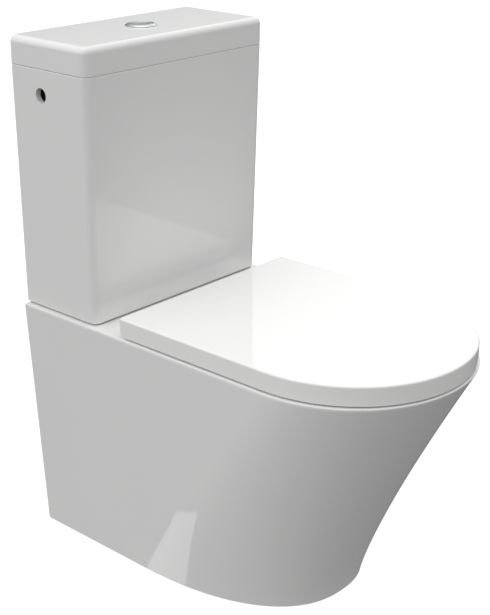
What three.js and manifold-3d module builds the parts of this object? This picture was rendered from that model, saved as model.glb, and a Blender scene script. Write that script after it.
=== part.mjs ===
// Close coupled, back-to-wall toilet with a D-shaped pan, a slim cistern and a wrap-over seat.
// Everything is in millimetres, with +Z up and the nose of the pan towards -Y.
// The suite is modelled from the wall plane, y = 0, and its group then centres it over the floor.

import * as THREE from "three";
import { mergeVertices } from "three/addons/utils/BufferGeometryUtils.js";
import { ParametricGeometry } from "three/addons/geometries/ParametricGeometry.js";
import Module from "manifold-3d";

const wasm = await Module();
wasm.setup();

// ---------------------------------------------------------------- driving dimensions

const GAP = 0.3; // between pieces that touch

const LENGTH = 670; // wall to the nose of the pan
const DECK = 397; // top of the pan, where the seat and the cistern stand
const CHINA = 12; // wall of the pan
const PAN_FOOT = { half: 162, straight: 220, front: 496, power: 2.34 };
const PAN_TOP = { half: 189.4, straight: 486, front: LENGTH, power: 2.04 };
const NOSE_LEAN = 1.22; // how late the nose swings out on its way up

const RIM_EDGE = 4; // bevel between the pan's side and its deck

const TANK_BOTTOM = DECK + 1.6;
const SEAM = 769.6; // where the lid of the cistern meets its tank
const LID_TOP = 811;
const TANK_WALL = 9;
const TANK_FLOOR = 10;
const TANK_FOOT = { half: 182.2, depth: 154.5 };
const TANK_HEAD = { half: 189, depth: 158 };
const TANK_CORNER = 13; // radius of the upright corners in front
const REAR_CORNER = 2;
const TANK_EDGE = 4; // bevel round the tank's foot
const LID_EDGE = 8; // bevel round the lid's top
const LID_PLATE = 10;
const OUTLET_Y = -77; // centre line of the cistern's depth, where its fittings stand
const COUPLING_X = 78;
const FILL_X = 128;
const SIDE_INLET = { y: -62, z: 731.7, radius: 11 };

const COVER = { half: 185.8, straight: 479, front: 666.8, power: 2.04 };
const COVER_BACK = 208.5;
const COVER_BOTTOM = DECK + 2.2;
const COVER_TOP = DECK + 31.3;
const COVER_WALL = 5.5;
const RING_INSET = 7.5;
const RING_BACK = 237;
const RING_BOTTOM = DECK + 4;
const RING_TOP = DECK + 24.5;
const SEAT_HOLE = { half: 112, reach: 145, y: -452 };
const HINGE_X = 78; // half of the usual 156 mm between seat holes
const HINGE = { y: -219, z: DECK + 16 };
const DAMPER_RADIUS = 6;

const TRAVEL = 7; // of the flush buttons
const OUTLET_Z = 180; // centre of the horizontal waste outlet
const OUTLET_RADIUS = 51; // a 102 mm spigot

// ---------------------------------------------------------------- materials

const finish = (colour, roughness, metalness = 0) =>
  new THREE.MeshStandardMaterial({ color: colour, roughness, metalness });

const china = finish(0xf1f1ef, 0.08);
const duroplast = finish(0xf5f5f4, 0.15);
const chrome = finish(0xc9ccd0, 0.08, 1);
const steel = finish(0xb8babb, 0.3, 1);
const whitePlastic = finish(0xe9eaec, 0.4);
const bluePlastic = finish(0x4f7fb4, 0.4);
const greyPlastic = finish(0x9a9da1, 0.45);
const blackRubber = finish(0x1c1c1d, 0.8);
const clearRubber = finish(0xd9dcdc, 0.5);

// ---------------------------------------------------------------- solids

// A closed geometry as a solid that can be joined and cut.
function solidOf(geometry) {
  const bare = new THREE.BufferGeometry();
  const loose = geometry.index ? geometry.toNonIndexed() : geometry;
  bare.setAttribute("position", loose.getAttribute("position"));
  const merged = mergeVertices(bare, 1e-3);
  const index = merged.index.array;
  const kept = [];
  for (let i = 0; i < index.length; i += 3) {
    const [a, b, c] = index.slice(i, i + 3);
    if (a !== b && b !== c && c !== a) kept.push(a, b, c);
  }
  return new wasm.Manifold(
    new wasm.Mesh({
      numProp: 3,
      vertProperties: merged.attributes.position.array,
      triVerts: new Uint32Array(kept),
    }),
  );
}

function geometryOf(solid) {
  const mesh = solid.getMesh();
  const geometry = new THREE.BufferGeometry();
  geometry.setAttribute("position", new THREE.BufferAttribute(new Float32Array(mesh.vertProperties), 3));
  geometry.setIndex(new THREE.BufferAttribute(new Uint32Array(mesh.triVerts), 1));
  geometry.computeVertexNormals();
  return geometry;
}

const join = (first, ...others) => others.reduce((whole, next) => whole.add(next), first);
const cut = (first, ...tools) => tools.reduce((whole, tool) => whole.subtract(tool), first);

function block(x0, x1, y0, y1, z0, z1) {
  const box = new THREE.BoxGeometry(x1 - x0, y1 - y0, z1 - z0);
  return solidOf(box.translate((x0 + x1) / 2, (y0 + y1) / 2, (z0 + z1) / 2));
}

// An upright cylinder; with few sides it is a nut.
function post(radius, z0, z1, x = 0, y = OUTLET_Y, sides = 20) {
  const cylinder = new THREE.CylinderGeometry(radius, radius, z1 - z0, sides);
  return solidOf(cylinder.rotateX(Math.PI / 2).translate(x, y, (z0 + z1) / 2));
}

const tube = (outer, inner, z0, z1, x, y, sides) =>
  cut(post(outer, z0, z1, x, y, sides), post(inner, z0 - 1, z1 + 1, x, y));

// A cylinder that lies along X, between two values of x.
function barX(radius, x0, x1, y, z, sides = 16) {
  const cylinder = new THREE.CylinderGeometry(radius, radius, Math.abs(x1 - x0), sides);
  return solidOf(cylinder.rotateZ(Math.PI / 2).translate((x0 + x1) / 2, y, z));
}

// A cylinder that lies along Y, between two values of y.
function barY(radius, y0, y1, x, z, sides = 24) {
  const cylinder = new THREE.CylinderGeometry(radius, radius, Math.abs(y1 - y0), sides);
  return solidOf(cylinder.translate(x, (y0 + y1) / 2, z));
}

// A profile of [radius, z] turned about an upright axis.
function turned(profile, x = 0, y = OUTLET_Y, sides = 24) {
  const points = profile.map(([radius, z]) => new THREE.Vector2(radius, z));
  if (profile[0][0] > 0) points.push(points[0].clone());
  return solidOf(new THREE.LatheGeometry(points, sides).rotateX(Math.PI / 2).translate(x, y, 0));
}

// Rings of points, from the lowest to the highest, skinned and closed with a fan at each end.
function loft(rings) {
  const middle = (ring) => {
    const sum = ring.reduce((total, point) => total.add(point), new THREE.Vector3());
    return ring.map(() => sum.clone().divideScalar(ring.length));
  };
  const rows = [middle(rings[0]), ...rings, middle(rings[rings.length - 1])];
  const slices = rings[0].length;
  const stacks = rows.length - 1;
  const place = (u, v, target) =>
    target.copy(rows[Math.round(v * stacks)][Math.round(u * slices) % slices]);
  return solidOf(new ParametricGeometry(place, slices, stacks));
}

const raise = (z) => (point) => new THREE.Vector3(point.x, point.y, z);

// A D in plan, anticlockwise from its back left corner: two straight sides and a superelliptic nose.
function dOutline({ half, straight, front, power }, back, inset = 0, noseSteps = 24) {
  const width = half - inset;
  const reach = front - inset - straight;
  const points = [new THREE.Vector2(-width, -back)];
  for (let i = 0; i <= noseSteps; i++) {
    const angle = (Math.PI * i) / noseSteps;
    const across = Math.cos(angle);
    const x = -width * Math.sign(across) * Math.abs(across) ** (2 / power);
    const y = -straight - reach * Math.sin(angle) ** (2 / power);
    points.push(new THREE.Vector2(x, y));
  }
  points.push(new THREE.Vector2(width, -back));
  return points;
}

function oval(half, back, front, power = 2.3, steps = 24) {
  const middle = (back + front) / 2;
  const reach = (front - back) / 2;
  const points = [];
  for (let i = 0; i < steps; i++) {
    const angle = (2 * Math.PI * i) / steps;
    const round = (value) => Math.sign(value) * Math.abs(value) ** (2 / power);
    points.push(new THREE.Vector2(half * round(Math.cos(angle)), -middle + reach * round(Math.sin(angle))));
  }
  return points;
}

// A rectangle against the wall with round corners.
function tankOutline(half, depth, inset = 0, wall = 0, cornerSteps = 3) {
  const x = half - inset;
  const front = -(depth - inset);
  const back = -wall;
  const round = Math.max(TANK_CORNER - inset, REAR_CORNER);
  const corners = [
    [-x + REAR_CORNER, back - REAR_CORNER, REAR_CORNER, 90],
    [-x + round, front + round, round, 180],
    [x - round, front + round, round, 270],
    [x - REAR_CORNER, back - REAR_CORNER, REAR_CORNER, 360],
  ];
  const points = [];
  for (const [cx, cy, radius, start] of corners) {
    for (let i = 0; i <= cornerSteps; i++) {
      const angle = THREE.MathUtils.degToRad(start + (90 * i) / cornerSteps);
      points.push(new THREE.Vector2(cx + radius * Math.cos(angle), cy + radius * Math.sin(angle)));
    }
  }
  return points;
}

const suite = new THREE.Group();
suite.position.y = LENGTH / 2;

function add(name, solid, material) {
  const mesh = new THREE.Mesh(geometryOf(solid), material);
  mesh.name = name;
  suite.add(mesh);
}

const SIDES = [
  ["left", -1],
  ["right", 1],
];

// ---------------------------------------------------------------- pan

// The pan's outline at a share of its height: 0 at the floor, 1 at the deck.
function panSection(share) {
  const mix = (key, power = 1) => PAN_FOOT[key] + (PAN_TOP[key] - PAN_FOOT[key]) * share ** power;
  const [half, straight, power] = ["half", "straight", "power"].map((key) => mix(key));
  return { half, straight, front: mix("front", NOSE_LEAN), power };
}

function panShell() {
  const steps = 6;
  const outer = [];
  for (let i = 0; i <= steps; i++) {
    outer.push(dOutline(panSection(i / steps), 0).map(raise(((DECK - RIM_EDGE) * i) / steps)));
  }
  outer.push(dOutline(PAN_TOP, 0, RIM_EDGE).map(raise(DECK)));
  const inner = [];
  for (let i = 0; i <= steps; i++) {
    const z = -1 + ((DECK - DECK_PLATE + 1) * i) / steps;
    inner.push(dOutline(panSection(Math.max(z, 0) / DECK), -10, CHINA).map(raise(z)));
  }
  return cut(loft(outer), loft(inner));
}

// The bowl, from its sump to its mouth: height, half width, distance of its back and its front from the wall.
const BOWL = [
  [112, 34, 300, 378],
  [135, 44, 295, 400],
  [170, 58, 292, 446],
  [215, 82, 291, 505],
  [265, 106, 292, 552],
  [315, 125, 294, 585],
  [355, 137, 296, 604],
  [366, 140, 296, 608],
  [371, 131, 304, 599],
  [DECK + 1, 131, 304, 599],
];
const BOWL_WALL = 11;

const bowlInside = () => loft(BOWL.map(([z, half, back, front]) => oval(half, back, front).map(raise(z))));

function bowlOutside() {
  const rings = BOWL.slice(0, -2).map(([z, half, back, front]) =>
    oval(half + BOWL_WALL, back - BOWL_WALL, front + BOWL_WALL).map(raise(z - BOWL_WALL)),
  );
  const [, half, back, front] = BOWL[BOWL.length - 3];
  rings.push(oval(half + BOWL_WALL, back - BOWL_WALL, front + BOWL_WALL).map(raise(DECK - 2)));
  return loft(rings);
}

// The centre line of the trapway: down out of the sump, up over the weir and back to the wall.
const TRAP = new THREE.CatmullRomCurve3(
  [
    [-372, 165],
    [-342, 104],
    [-300, 68],
    [-252, 68],
    [-210, 106],
    [-180, 158],
    [-142, 187],
    [-100, OUTLET_Z + 4],
    [-60, OUTLET_Z],
  ].map(([y, z]) => new THREE.Vector3(0, y, z)),
);
const TRAP_RADIUS = 37;

function trapway(radius) {
  const section = new THREE.Shape().absarc(0, 0, radius, 0, 2 * Math.PI);
  const options = { extrudePath: TRAP, steps: 15, curveSegments: 6, bevelEnabled: false };
  return solidOf(new THREE.ExtrudeGeometry(section, options));
}

const DECK_PLATE = 20; // thickness of the deck
// The doughnut washer sits in the well, over a smaller hole.
const WELL = { radius: 47, floor: DECK - 24, drop: 25 };
const DUCT = { half: 34, top: DECK - 37, bottom: DECK - 70, back: -38, bowl: -316 };
const OUTLET = { start: -95, end: -14, bore: 42 };
const PAN_HOLES = { coupling: 6, hinge: 7, supply: 23 }; // radii

// The channel that takes the flush from the cistern to the bowl, and the round well above it.
function flushDuct() {
  const plateFoot = DECK - DECK_PLATE + 1;
  const overBowl = DUCT.bowl + 16; // the wall stops inside the bowl's own wall
  const half = DUCT.half + CHINA;
  return join(
    block(-half, half, overBowl, DUCT.back + CHINA, DUCT.bottom - CHINA, plateFoot),
    post(WELL.radius + CHINA, DUCT.top - 5, plateFoot, 0, OUTLET_Y, 32),
  );
}

function deckHoles() {
  const [foot, top] = [DECK - 2 * DECK_PLATE, DECK + 1];
  return [
    post(PAN_HOLES.supply, foot, top, FILL_X, OUTLET_Y),
    ...SIDES.flatMap(([, side]) => [
      post(PAN_HOLES.coupling, foot, top, side * COUPLING_X, OUTLET_Y, 16),
      post(PAN_HOLES.hinge, foot, top, side * HINGE_X, HINGE.y, 16),
    ]),
  ];
}

function makePan() {
  const trapWall = 10;
  const body = join(
    panShell(),
    bowlOutside(),
    trapway(TRAP_RADIUS + trapWall),
    barY(OUTLET_RADIUS, OUTLET.start, OUTLET.end, 0, OUTLET_Z, 32),
    flushDuct(),
  );
  const pan = cut(
    body,
    bowlInside(),
    trapway(TRAP_RADIUS),
    barY(OUTLET.bore, OUTLET.start + 25, OUTLET.end + 1, 0, OUTLET_Z, 32),
    block(-DUCT.half, DUCT.half, DUCT.bowl, DUCT.back, DUCT.bottom, DUCT.top),
    post(WELL.radius, WELL.floor, DECK + 1, 0, OUTLET_Y, 32),
    post(WELL.drop, DUCT.top - 10, DECK + 1, 0, OUTLET_Y),
    ...deckHoles(),
  );
  add("pan", pan, china);
}

// ---------------------------------------------------------------- cistern

function tankSection(z) {
  const share = (z - TANK_BOTTOM) / (SEAM - TANK_BOTTOM);
  return {
    half: TANK_FOOT.half + (TANK_HEAD.half - TANK_FOOT.half) * share,
    depth: TANK_FOOT.depth + (TANK_HEAD.depth - TANK_FOOT.depth) * share,
  };
}

function tankRing(z, inset = 0, wall = 0) {
  const { half, depth } = tankSection(z);
  return tankOutline(half, depth, inset, wall).map(raise(z));
}

const TANK_HOLES = { valve: 30, supply: 12, coupling: 5.5 }; // radii

function makeTank() {
  const top = SEAM - GAP;
  const floor = TANK_BOTTOM + TANK_FLOOR;
  const outer = loft([
    tankRing(TANK_BOTTOM, TANK_EDGE),
    tankRing(TANK_BOTTOM + 0.3 * TANK_EDGE, 0.3 * TANK_EDGE),
    tankRing(TANK_BOTTOM + TANK_EDGE),
    tankRing(top),
  ]);
  const inner = loft([
    tankRing(floor, TANK_WALL + 6, TANK_WALL),
    tankRing(floor + 6, TANK_WALL, TANK_WALL),
    tankRing(top + 1, TANK_WALL, TANK_WALL),
  ]);
  const drill = (radius, x, sides) => post(radius, TANK_BOTTOM - 1, floor + 1, x, OUTLET_Y, sides);
  const sideInlets = SIDES.map(([, side]) =>
    barX(SIDE_INLET.radius, side * 170, side * 195, SIDE_INLET.y, SIDE_INLET.z));
  const tank = cut(
    outer,
    inner,
    drill(TANK_HOLES.valve, 0),
    drill(TANK_HOLES.supply, FILL_X),
    ...SIDES.map(([, side]) => drill(TANK_HOLES.coupling, side * COUPLING_X, 16)),
    ...sideInlets,
  );
  add("cistern_tank", tank, china);
}

const BUTTON_HOLE = 20;

// The lid's ribs hang inside the tank's walls and keep the lid in its place.
function makeLid() {
  const { half, depth } = TANK_HEAD;
  const plate = LID_TOP - LID_PLATE;
  const ring = (z, inset = 0, wall = 0) => tankOutline(half, depth, inset, wall).map(raise(z));
  const outer = loft([
    ring(SEAM),
    ring(LID_TOP - LID_EDGE),
    ring(LID_TOP - 0.3 * LID_EDGE, 0.3 * LID_EDGE),
    ring(LID_TOP, LID_EDGE),
  ]);
  const inner = loft([ring(SEAM - 1, TANK_WALL, TANK_WALL), ring(plate, TANK_WALL, TANK_WALL)]);
  const rib = { half: 150, thick: 8, inset: 20, drop: 9 };
  const ribs = [-rib.inset, rib.inset - depth].map((y) =>
    block(-rib.half, rib.half, y - rib.thick / 2, y + rib.thick / 2, SEAM - rib.drop, plate + 1));
  const lid = cut(join(cut(outer, inner), ...ribs), post(BUTTON_HOLE, plate - 1, LID_TOP + 1));
  add("cistern_lid", lid, china);
}

const BACK_NUT = 13; // depth of the flush valve's nut, which presses on the doughnut washer

// The bolts, rubber washers and wing nuts that pull the tank down onto the pan.
function makeCoupling() {
  const floor = TANK_BOTTOM + TANK_FLOOR;
  const washer = floor + 5;
  const underDeck = DECK - DECK_PLATE;
  for (const [name, side] of SIDES) {
    const x = side * COUPLING_X;
    const shank = post(4, underDeck - 24, washer + 1, x, OUTLET_Y, 16);
    const slot = block(x - 12, x + 12, OUTLET_Y - 1, OUTLET_Y + 1, washer + 4, washer + 7);
    const head = cut(post(11, washer + GAP, washer + 6, x), slot);
    add(`coupling_bolt_${name}`, join(shank, head), steel);
    const cone = turned([[4.6, floor + GAP], [12, floor + GAP], [9, washer], [4.6, washer]], x, OUTLET_Y, 20);
    add(`coupling_washer_${name}`, cone, blackRubber);
    const nut = join(
      post(9, underDeck - 9, underDeck - GAP, x, OUTLET_Y, 16),
      block(x - 15, x + 15, OUTLET_Y - 2, OUTLET_Y + 2, underDeck - 15, underDeck - 3),
    );
    const thread = post(4.5, underDeck - 20, underDeck, x, OUTLET_Y, 16);
    add(`coupling_wing_nut_${name}`, cut(nut, thread), whitePlastic);
  }
  const doughnut = tube(45, 29.2, WELL.floor + GAP, TANK_BOTTOM - BACK_NUT - 0.4, 0, OUTLET_Y, 32);
  add("doughnut_washer", doughnut, blackRubber);
}

// ---------------------------------------------------------------- flush valve

const VALVE_FLANGE = TANK_BOTTOM + 13.6;
const VALVE_SEAT = VALVE_FLANGE + 8.4;
const TOWER_FOOT = VALVE_FLANGE + 43.7;
const WINDOW_MARGIN = 20; // solid band at each end of the tower
const TOWER_HEAD = 640;
const LEVER_Z = 700; // height of the lever pivots
const PIVOT_X = 24;
const PUSH_X = 9; // the flush rods stand this far each side of the middle

function makeValveBase() {
  const flange = VALVE_FLANGE;
  const cage = TOWER_FOOT - GAP;
  const profile = [
    [24, WELL.floor + 2], [28.5, WELL.floor + 2], [28.5, flange], [43, flange], [43, flange + 4.4],
    [42, flange + 4.4], [42, cage], [38, cage], [38, flange + 4.4], [30, flange + 4.4],
    [30, VALVE_SEAT], [24, VALVE_SEAT],
  ];
  const windows = [
    block(-50, 50, OUTLET_Y - 14, OUTLET_Y + 14, VALVE_SEAT + 0.5, cage - 7),
    block(-14, 14, OUTLET_Y - 50, OUTLET_Y + 50, VALVE_SEAT + 0.5, cage - 7),
  ];
  add("flush_valve_base", cut(turned(profile), ...windows), whitePlastic);
  add("flush_valve_gasket", tube(42, 29.2, flange - 3.3, flange - GAP), clearRubber);
  const backNut = tube(40, 29.2, TANK_BOTTOM - BACK_NUT, TANK_BOTTOM - GAP, 0, OUTLET_Y, 8);
  add("flush_valve_back_nut", backNut, whitePlastic);
}

function makeValveTower() {
  const windows = [
    block(-50, 50, OUTLET_Y - 16, OUTLET_Y + 16, TOWER_FOOT + WINDOW_MARGIN, TOWER_HEAD - WINDOW_MARGIN),
    block(-16, 16, OUTLET_Y - 50, OUTLET_Y + 50, TOWER_FOOT + WINDOW_MARGIN, TOWER_HEAD - WINDOW_MARGIN),
  ];
  const profile = [
    [37, TOWER_FOOT], [40, TOWER_FOOT], [40, TOWER_HEAD], [13.4, TOWER_HEAD],
    [13.4, TOWER_HEAD - 4], [37, TOWER_HEAD - 4],
  ];
  const cheeks = SIDES.flatMap(([, side]) =>
    [-1, 1].map((face) => {
      const middle = OUTLET_Y + face * 7;
      return block(
        side * PIVOT_X - 5, side * PIVOT_X + 5, middle - 2, middle + 2, TOWER_HEAD - 1, LEVER_Z + 4);
    }),
  );
  const holes = SIDES.map(([, side]) => barY(2.3, OUTLET_Y - 12, OUTLET_Y + 12, side * PIVOT_X, LEVER_Z, 16));
  add("flush_valve_tower", cut(join(cut(turned(profile), ...windows), ...cheeks), ...holes), whitePlastic);
}

// The overflow tube is the spindle too: it carries the seal, the float and the yoke, and lifts to flush.
function makeSpindle() {
  const plate = VALVE_SEAT + 3.6;
  const overflow = TOWER_HEAD + 10;
  const profile = [
    [10.5, VALVE_SEAT - 2], [12.8, VALVE_SEAT - 2], [12.8, plate], [30, plate], [30, plate + 4],
    [12.5, plate + 4], [12.5, overflow], [10.5, overflow],
  ];
  add("overflow_tube", turned(profile, 0, OUTLET_Y, 20), whitePlastic);
  add("flush_seal", tube(31, 13.2, VALVE_SEAT + GAP, plate - GAP), clearRubber);
  const float = [
    [13, 470], [15, 470], [15, 516], [31, 516], [31, 470], [33, 470], [33, 520], [13, 520]];
  add("flush_float", turned(float, 0, OUTLET_Y, 20), bluePlastic);

  // The arm over the half-flush lever stands one button travel higher than the other one.
  const bar = overflow + 2;
  const lip = { left: LEVER_Z + 3.2, right: LEVER_Z + 4.2 + TRAVEL };
  const arms = SIDES.flatMap(([name, side]) => {
    const [low, high] = [43, 46].map((x) => side * x).sort((a, b) => a - b);
    const [lipLow, lipHigh] = [33, 46].map((x) => side * x).sort((a, b) => a - b);
    return [
      block(low, high, OUTLET_Y - 4, OUTLET_Y + 4, bar, lip[name] + 4),
      block(lipLow, lipHigh, OUTLET_Y - 4, OUTLET_Y + 4, lip[name], lip[name] + 4),
    ];
  });
  const yoke = cut(
    join(
      block(-46, 46, OUTLET_Y - 4, OUTLET_Y + 4, bar, bar + 4),
      post(17, TOWER_HEAD + 3, bar + 4),
      ...arms,
    ),
    post(12.8, TOWER_HEAD, bar + 5),
  );
  add("lifting_yoke", yoke, bluePlastic);
}

function makeLevers() {
  const names = { left: "full", right: "half" };
  for (const [name, side] of SIDES) {
    const ends = [6, 42].map((x) => side * x).sort((a, b) => a - b);
    const bar = join(
      block(ends[0], ends[1], OUTLET_Y - 4, OUTLET_Y + 4, LEVER_Z - 2.5, LEVER_Z + 2.5),
      barY(4, OUTLET_Y - 4, OUTLET_Y + 4, side * PIVOT_X, LEVER_Z, 16),
    );
    const bore = barY(2.4, OUTLET_Y - 6, OUTLET_Y + 6, side * PIVOT_X, LEVER_Z, 16);
    add(`${names[name]}_flush_lever`, cut(bar, bore), bluePlastic);
    add(`lever_pin_${name}`, barY(1.9, OUTLET_Y - 10, OUTLET_Y + 10, side * PIVOT_X, LEVER_Z, 12), steel);
  }
}

// ---------------------------------------------------------------- flush buttons

class Helix extends THREE.Curve {
  constructor(x, radius, turns, z0, z1) {
    super();
    Object.assign(this, { x, radius, turns, z0, z1 });
  }

  getPoint(t, target = new THREE.Vector3()) {
    const angle = 2 * Math.PI * this.turns * t;
    return target.set(
      this.x + this.radius * Math.cos(angle),
      OUTLET_Y + this.radius * Math.sin(angle),
      this.z0 + (this.z1 - this.z0) * t,
    );
  }
}

function makeButtons() {
  const rim = LID_TOP + 4;
  const floor = LID_TOP - 34;
  const bore = 17.6;
  const profile = [
    [0, floor - 3], [19.2, floor - 3], [19.2, LID_TOP + GAP], [24, LID_TOP + GAP], [24, rim - 1.8],
    [22.8, rim - 0.5], [19.4, rim], [bore, rim - 0.6], [bore, floor], [0, floor],
  ];
  const guides = SIDES.map(([, side]) => post(4.6, floor - 4, floor + 1, side * PUSH_X, OUTLET_Y, 16));
  add("button_housing", cut(turned(profile, 0, OUTLET_Y, 28), ...guides), chrome);
  add("button_nut", tube(27, 19.6, LID_TOP - 18.3, LID_TOP - 10 - GAP, 0, OUTLET_Y, 12), whitePlastic);

  const crown = { low: LID_TOP - 3, high: rim - 1 };
  const stemFoot = floor - 15;
  const split = 2;
  const kinds = [
    ["full", -1, block(split - 0.4, 20, OUTLET_Y - 20, OUTLET_Y + 20, 700, 900)],
    ["half", 1, block(-20, split + 0.4, OUTLET_Y - 20, OUTLET_Y + 20, 700, 900)],
  ];
  for (const [kind, side, other] of kinds) {
    const x = side * PUSH_X;
    const cap = cut(post(17.1, crown.low, crown.high, 0, OUTLET_Y, 28), other);
    add(`${kind}_flush_button`, join(cap, post(4, stemFoot, crown.low + 1, x, OUTLET_Y, 16)), chrome);
    add(`${kind}_flush_rod`, post(2, LEVER_Z + 3.2, stemFoot - GAP, x, OUTLET_Y, 12), greyPlastic);
    const coil = new Helix(x, 5.6, 4, floor + 0.9, crown.low - 0.9);
    const wire = new THREE.Shape().absarc(0, 0, 0.5, 0, 2 * Math.PI);
    const options = { extrudePath: coil, steps: 36, curveSegments: 2, bevelEnabled: false };
    add(`${kind}_flush_spring`, solidOf(new THREE.ExtrudeGeometry(wire, options)), steel);
  }
}

// ---------------------------------------------------------------- fill valve

function makeFillValve() {
  const x = FILL_X;
  const flange = VALVE_FLANGE;
  const head = 640;
  const bore = 5.5;
  const body = [
    [bore, DECK - 50], [10.4, DECK - 50], [10.4, flange], [17, flange], [17, flange + 4], [10, flange + 4],
    [10, head], [19, head], [19, head + 24], [0, head + 24], [0, head + 14], [bore, head + 14],
  ];
  add("fill_valve_body", turned(body, x, OUTLET_Y, 20), whitePlastic);
  add("fill_valve_washer", tube(17, 10.8, flange - 3.3, flange - GAP, x), blackRubber);
  const backNut = tube(18, 10.8, TANK_BOTTOM - 8.3, TANK_BOTTOM - GAP, x, OUTLET_Y, 6);
  add("fill_valve_back_nut", backNut, whitePlastic);

  const float = { low: 540, high: 600 };
  const cup = [
    [11, float.low], [13, float.low], [13, float.high - 4], [29, float.high - 4], [29, float.low],
    [31, float.low], [31, float.high], [11, float.high],
  ];
  add("fill_float", turned(cup, x, OUTLET_Y, 20), greyPlastic);
  const capTop = head + 28;
  const armFoot = capTop + 2.5;
  add("fill_float_rod", post(1.8, float.high + GAP, armFoot - 0.7, x - 27, OUTLET_Y, 12), greyPlastic);

  const pivot = { x: x + 10, z: armFoot + 2.5 };
  const cheeks = [-1, 1].map((face) => {
    const middle = OUTLET_Y + face * 6.5;
    return block(pivot.x - 5, pivot.x + 5, middle - 1.5, middle + 1.5, capTop - 1, pivot.z + 4);
  });
  const pinHole = barY(1.8, OUTLET_Y - 10, OUTLET_Y + 10, pivot.x, pivot.z, 12);
  const cap = cut(join(post(20, head + 24 + GAP, capTop, x), ...cheeks), pinHole);
  add("fill_valve_cap", cap, whitePlastic);
  add("fill_arm_pin", barY(1.4, OUTLET_Y - 9, OUTLET_Y + 9, pivot.x, pivot.z, 12), steel);
  const arm = block(x - 32, pivot.x + 3, OUTLET_Y - 4, OUTLET_Y + 4, armFoot, armFoot + 5);
  add("fill_arm", cut(arm, pinHole), greyPlastic);
}

// ---------------------------------------------------------------- seat and cover

const between = (side, near, far) => [side * near, side * far].sort((a, b) => a - b);

function makeHinges() {
  const flange = DECK + GAP;
  const flangeTop = COVER_BOTTOM - GAP;
  for (const [name, side] of SIDES) {
    const x = side * HINGE_X;
    const [x0, x1] = between(side, HINGE_X - 10, HINGE_X + 10);
    const pillar = join(
      post(19, flange, flangeTop, x, HINGE.y, 24),
      block(x0, x1, HINGE.y - 8, HINGE.y + 8, flange + 1, HINGE.z),
      barX(8, x0, x1, HINGE.y, HINGE.z),
    );
    const pinHole = barX(3.8, x0 - 1, x1 + 1, HINGE.y, HINGE.z);
    add(`hinge_post_${name}`, cut(pillar, pinHole), chrome);

    const foot = DECK - 48;
    add(`hinge_stud_${name}`, post(3, foot, DECK, x, HINGE.y, 16), steel);
    add(`hinge_sleeve_${name}`, tube(6.6, 3.4, foot + 12, DECK - 0.5, x, HINGE.y, 12), blackRubber);
    const cone = [[3.4, foot + 1], [9, foot + 1], [9, foot + 5], [6, foot + 11.6], [3.4, foot + 11.6]];
    add(`hinge_cone_nut_${name}`, turned(cone, x, HINGE.y, 12), whitePlastic);

    const middle = HINGE_X;
    const dampers = [
      ["seat", [middle - 0.5, 65], [middle - 12, 45]],
      ["cover", [middle + 0.5, 92], [middle + 13, 114]],
    ];
    for (const [owner, pin, barrel] of dampers) {
      const damper = join(
        barX(3.3, side * pin[0], side * pin[1], HINGE.y, HINGE.z, 16),
        barX(DAMPER_RADIUS, side * barrel[0], side * barrel[1], HINGE.y, HINGE.z),
      );
      add(`${owner}_damper_${name}`, damper, greyPlastic);
    }
  }
}

function makeSeatRing() {
  const roll = 3;
  const shape = new THREE.Shape(dOutline(COVER, RING_BACK + roll, RING_INSET + roll));
  const { half, reach, y } = SEAT_HOLE;
  shape.holes.push(new THREE.Path(oval(half + roll, -y - reach - roll, -y + reach + roll, 2.2, 32)));
  const slab = new THREE.ExtrudeGeometry(shape, {
    depth: RING_TOP - RING_BOTTOM - 2 * roll,
    bevelThickness: roll, bevelSize: roll, bevelSegments: 1,
  });
  const lugs = SIDES.flatMap(([, side]) => {
    const [x0, x1] = between(side, HINGE_X - 38, HINGE_X - 12);
    return [
      block(x0, x1, -RING_BACK - 8, HINGE.y, HINGE.z - 9, HINGE.z + 8),
      barX(9, x0, x1, HINGE.y, HINGE.z),
    ];
  });
  const bores = SIDES.map(([, side]) =>
    barX(DAMPER_RADIUS + 0.4, ...between(side, HINGE_X - 34, HINGE_X - 10), HINGE.y, HINGE.z));
  const ring = solidOf(slab.translate(0, 0, RING_BOTTOM + roll));
  add("seat_ring", cut(join(ring, ...lugs), ...bores), duroplast);
}

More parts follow.
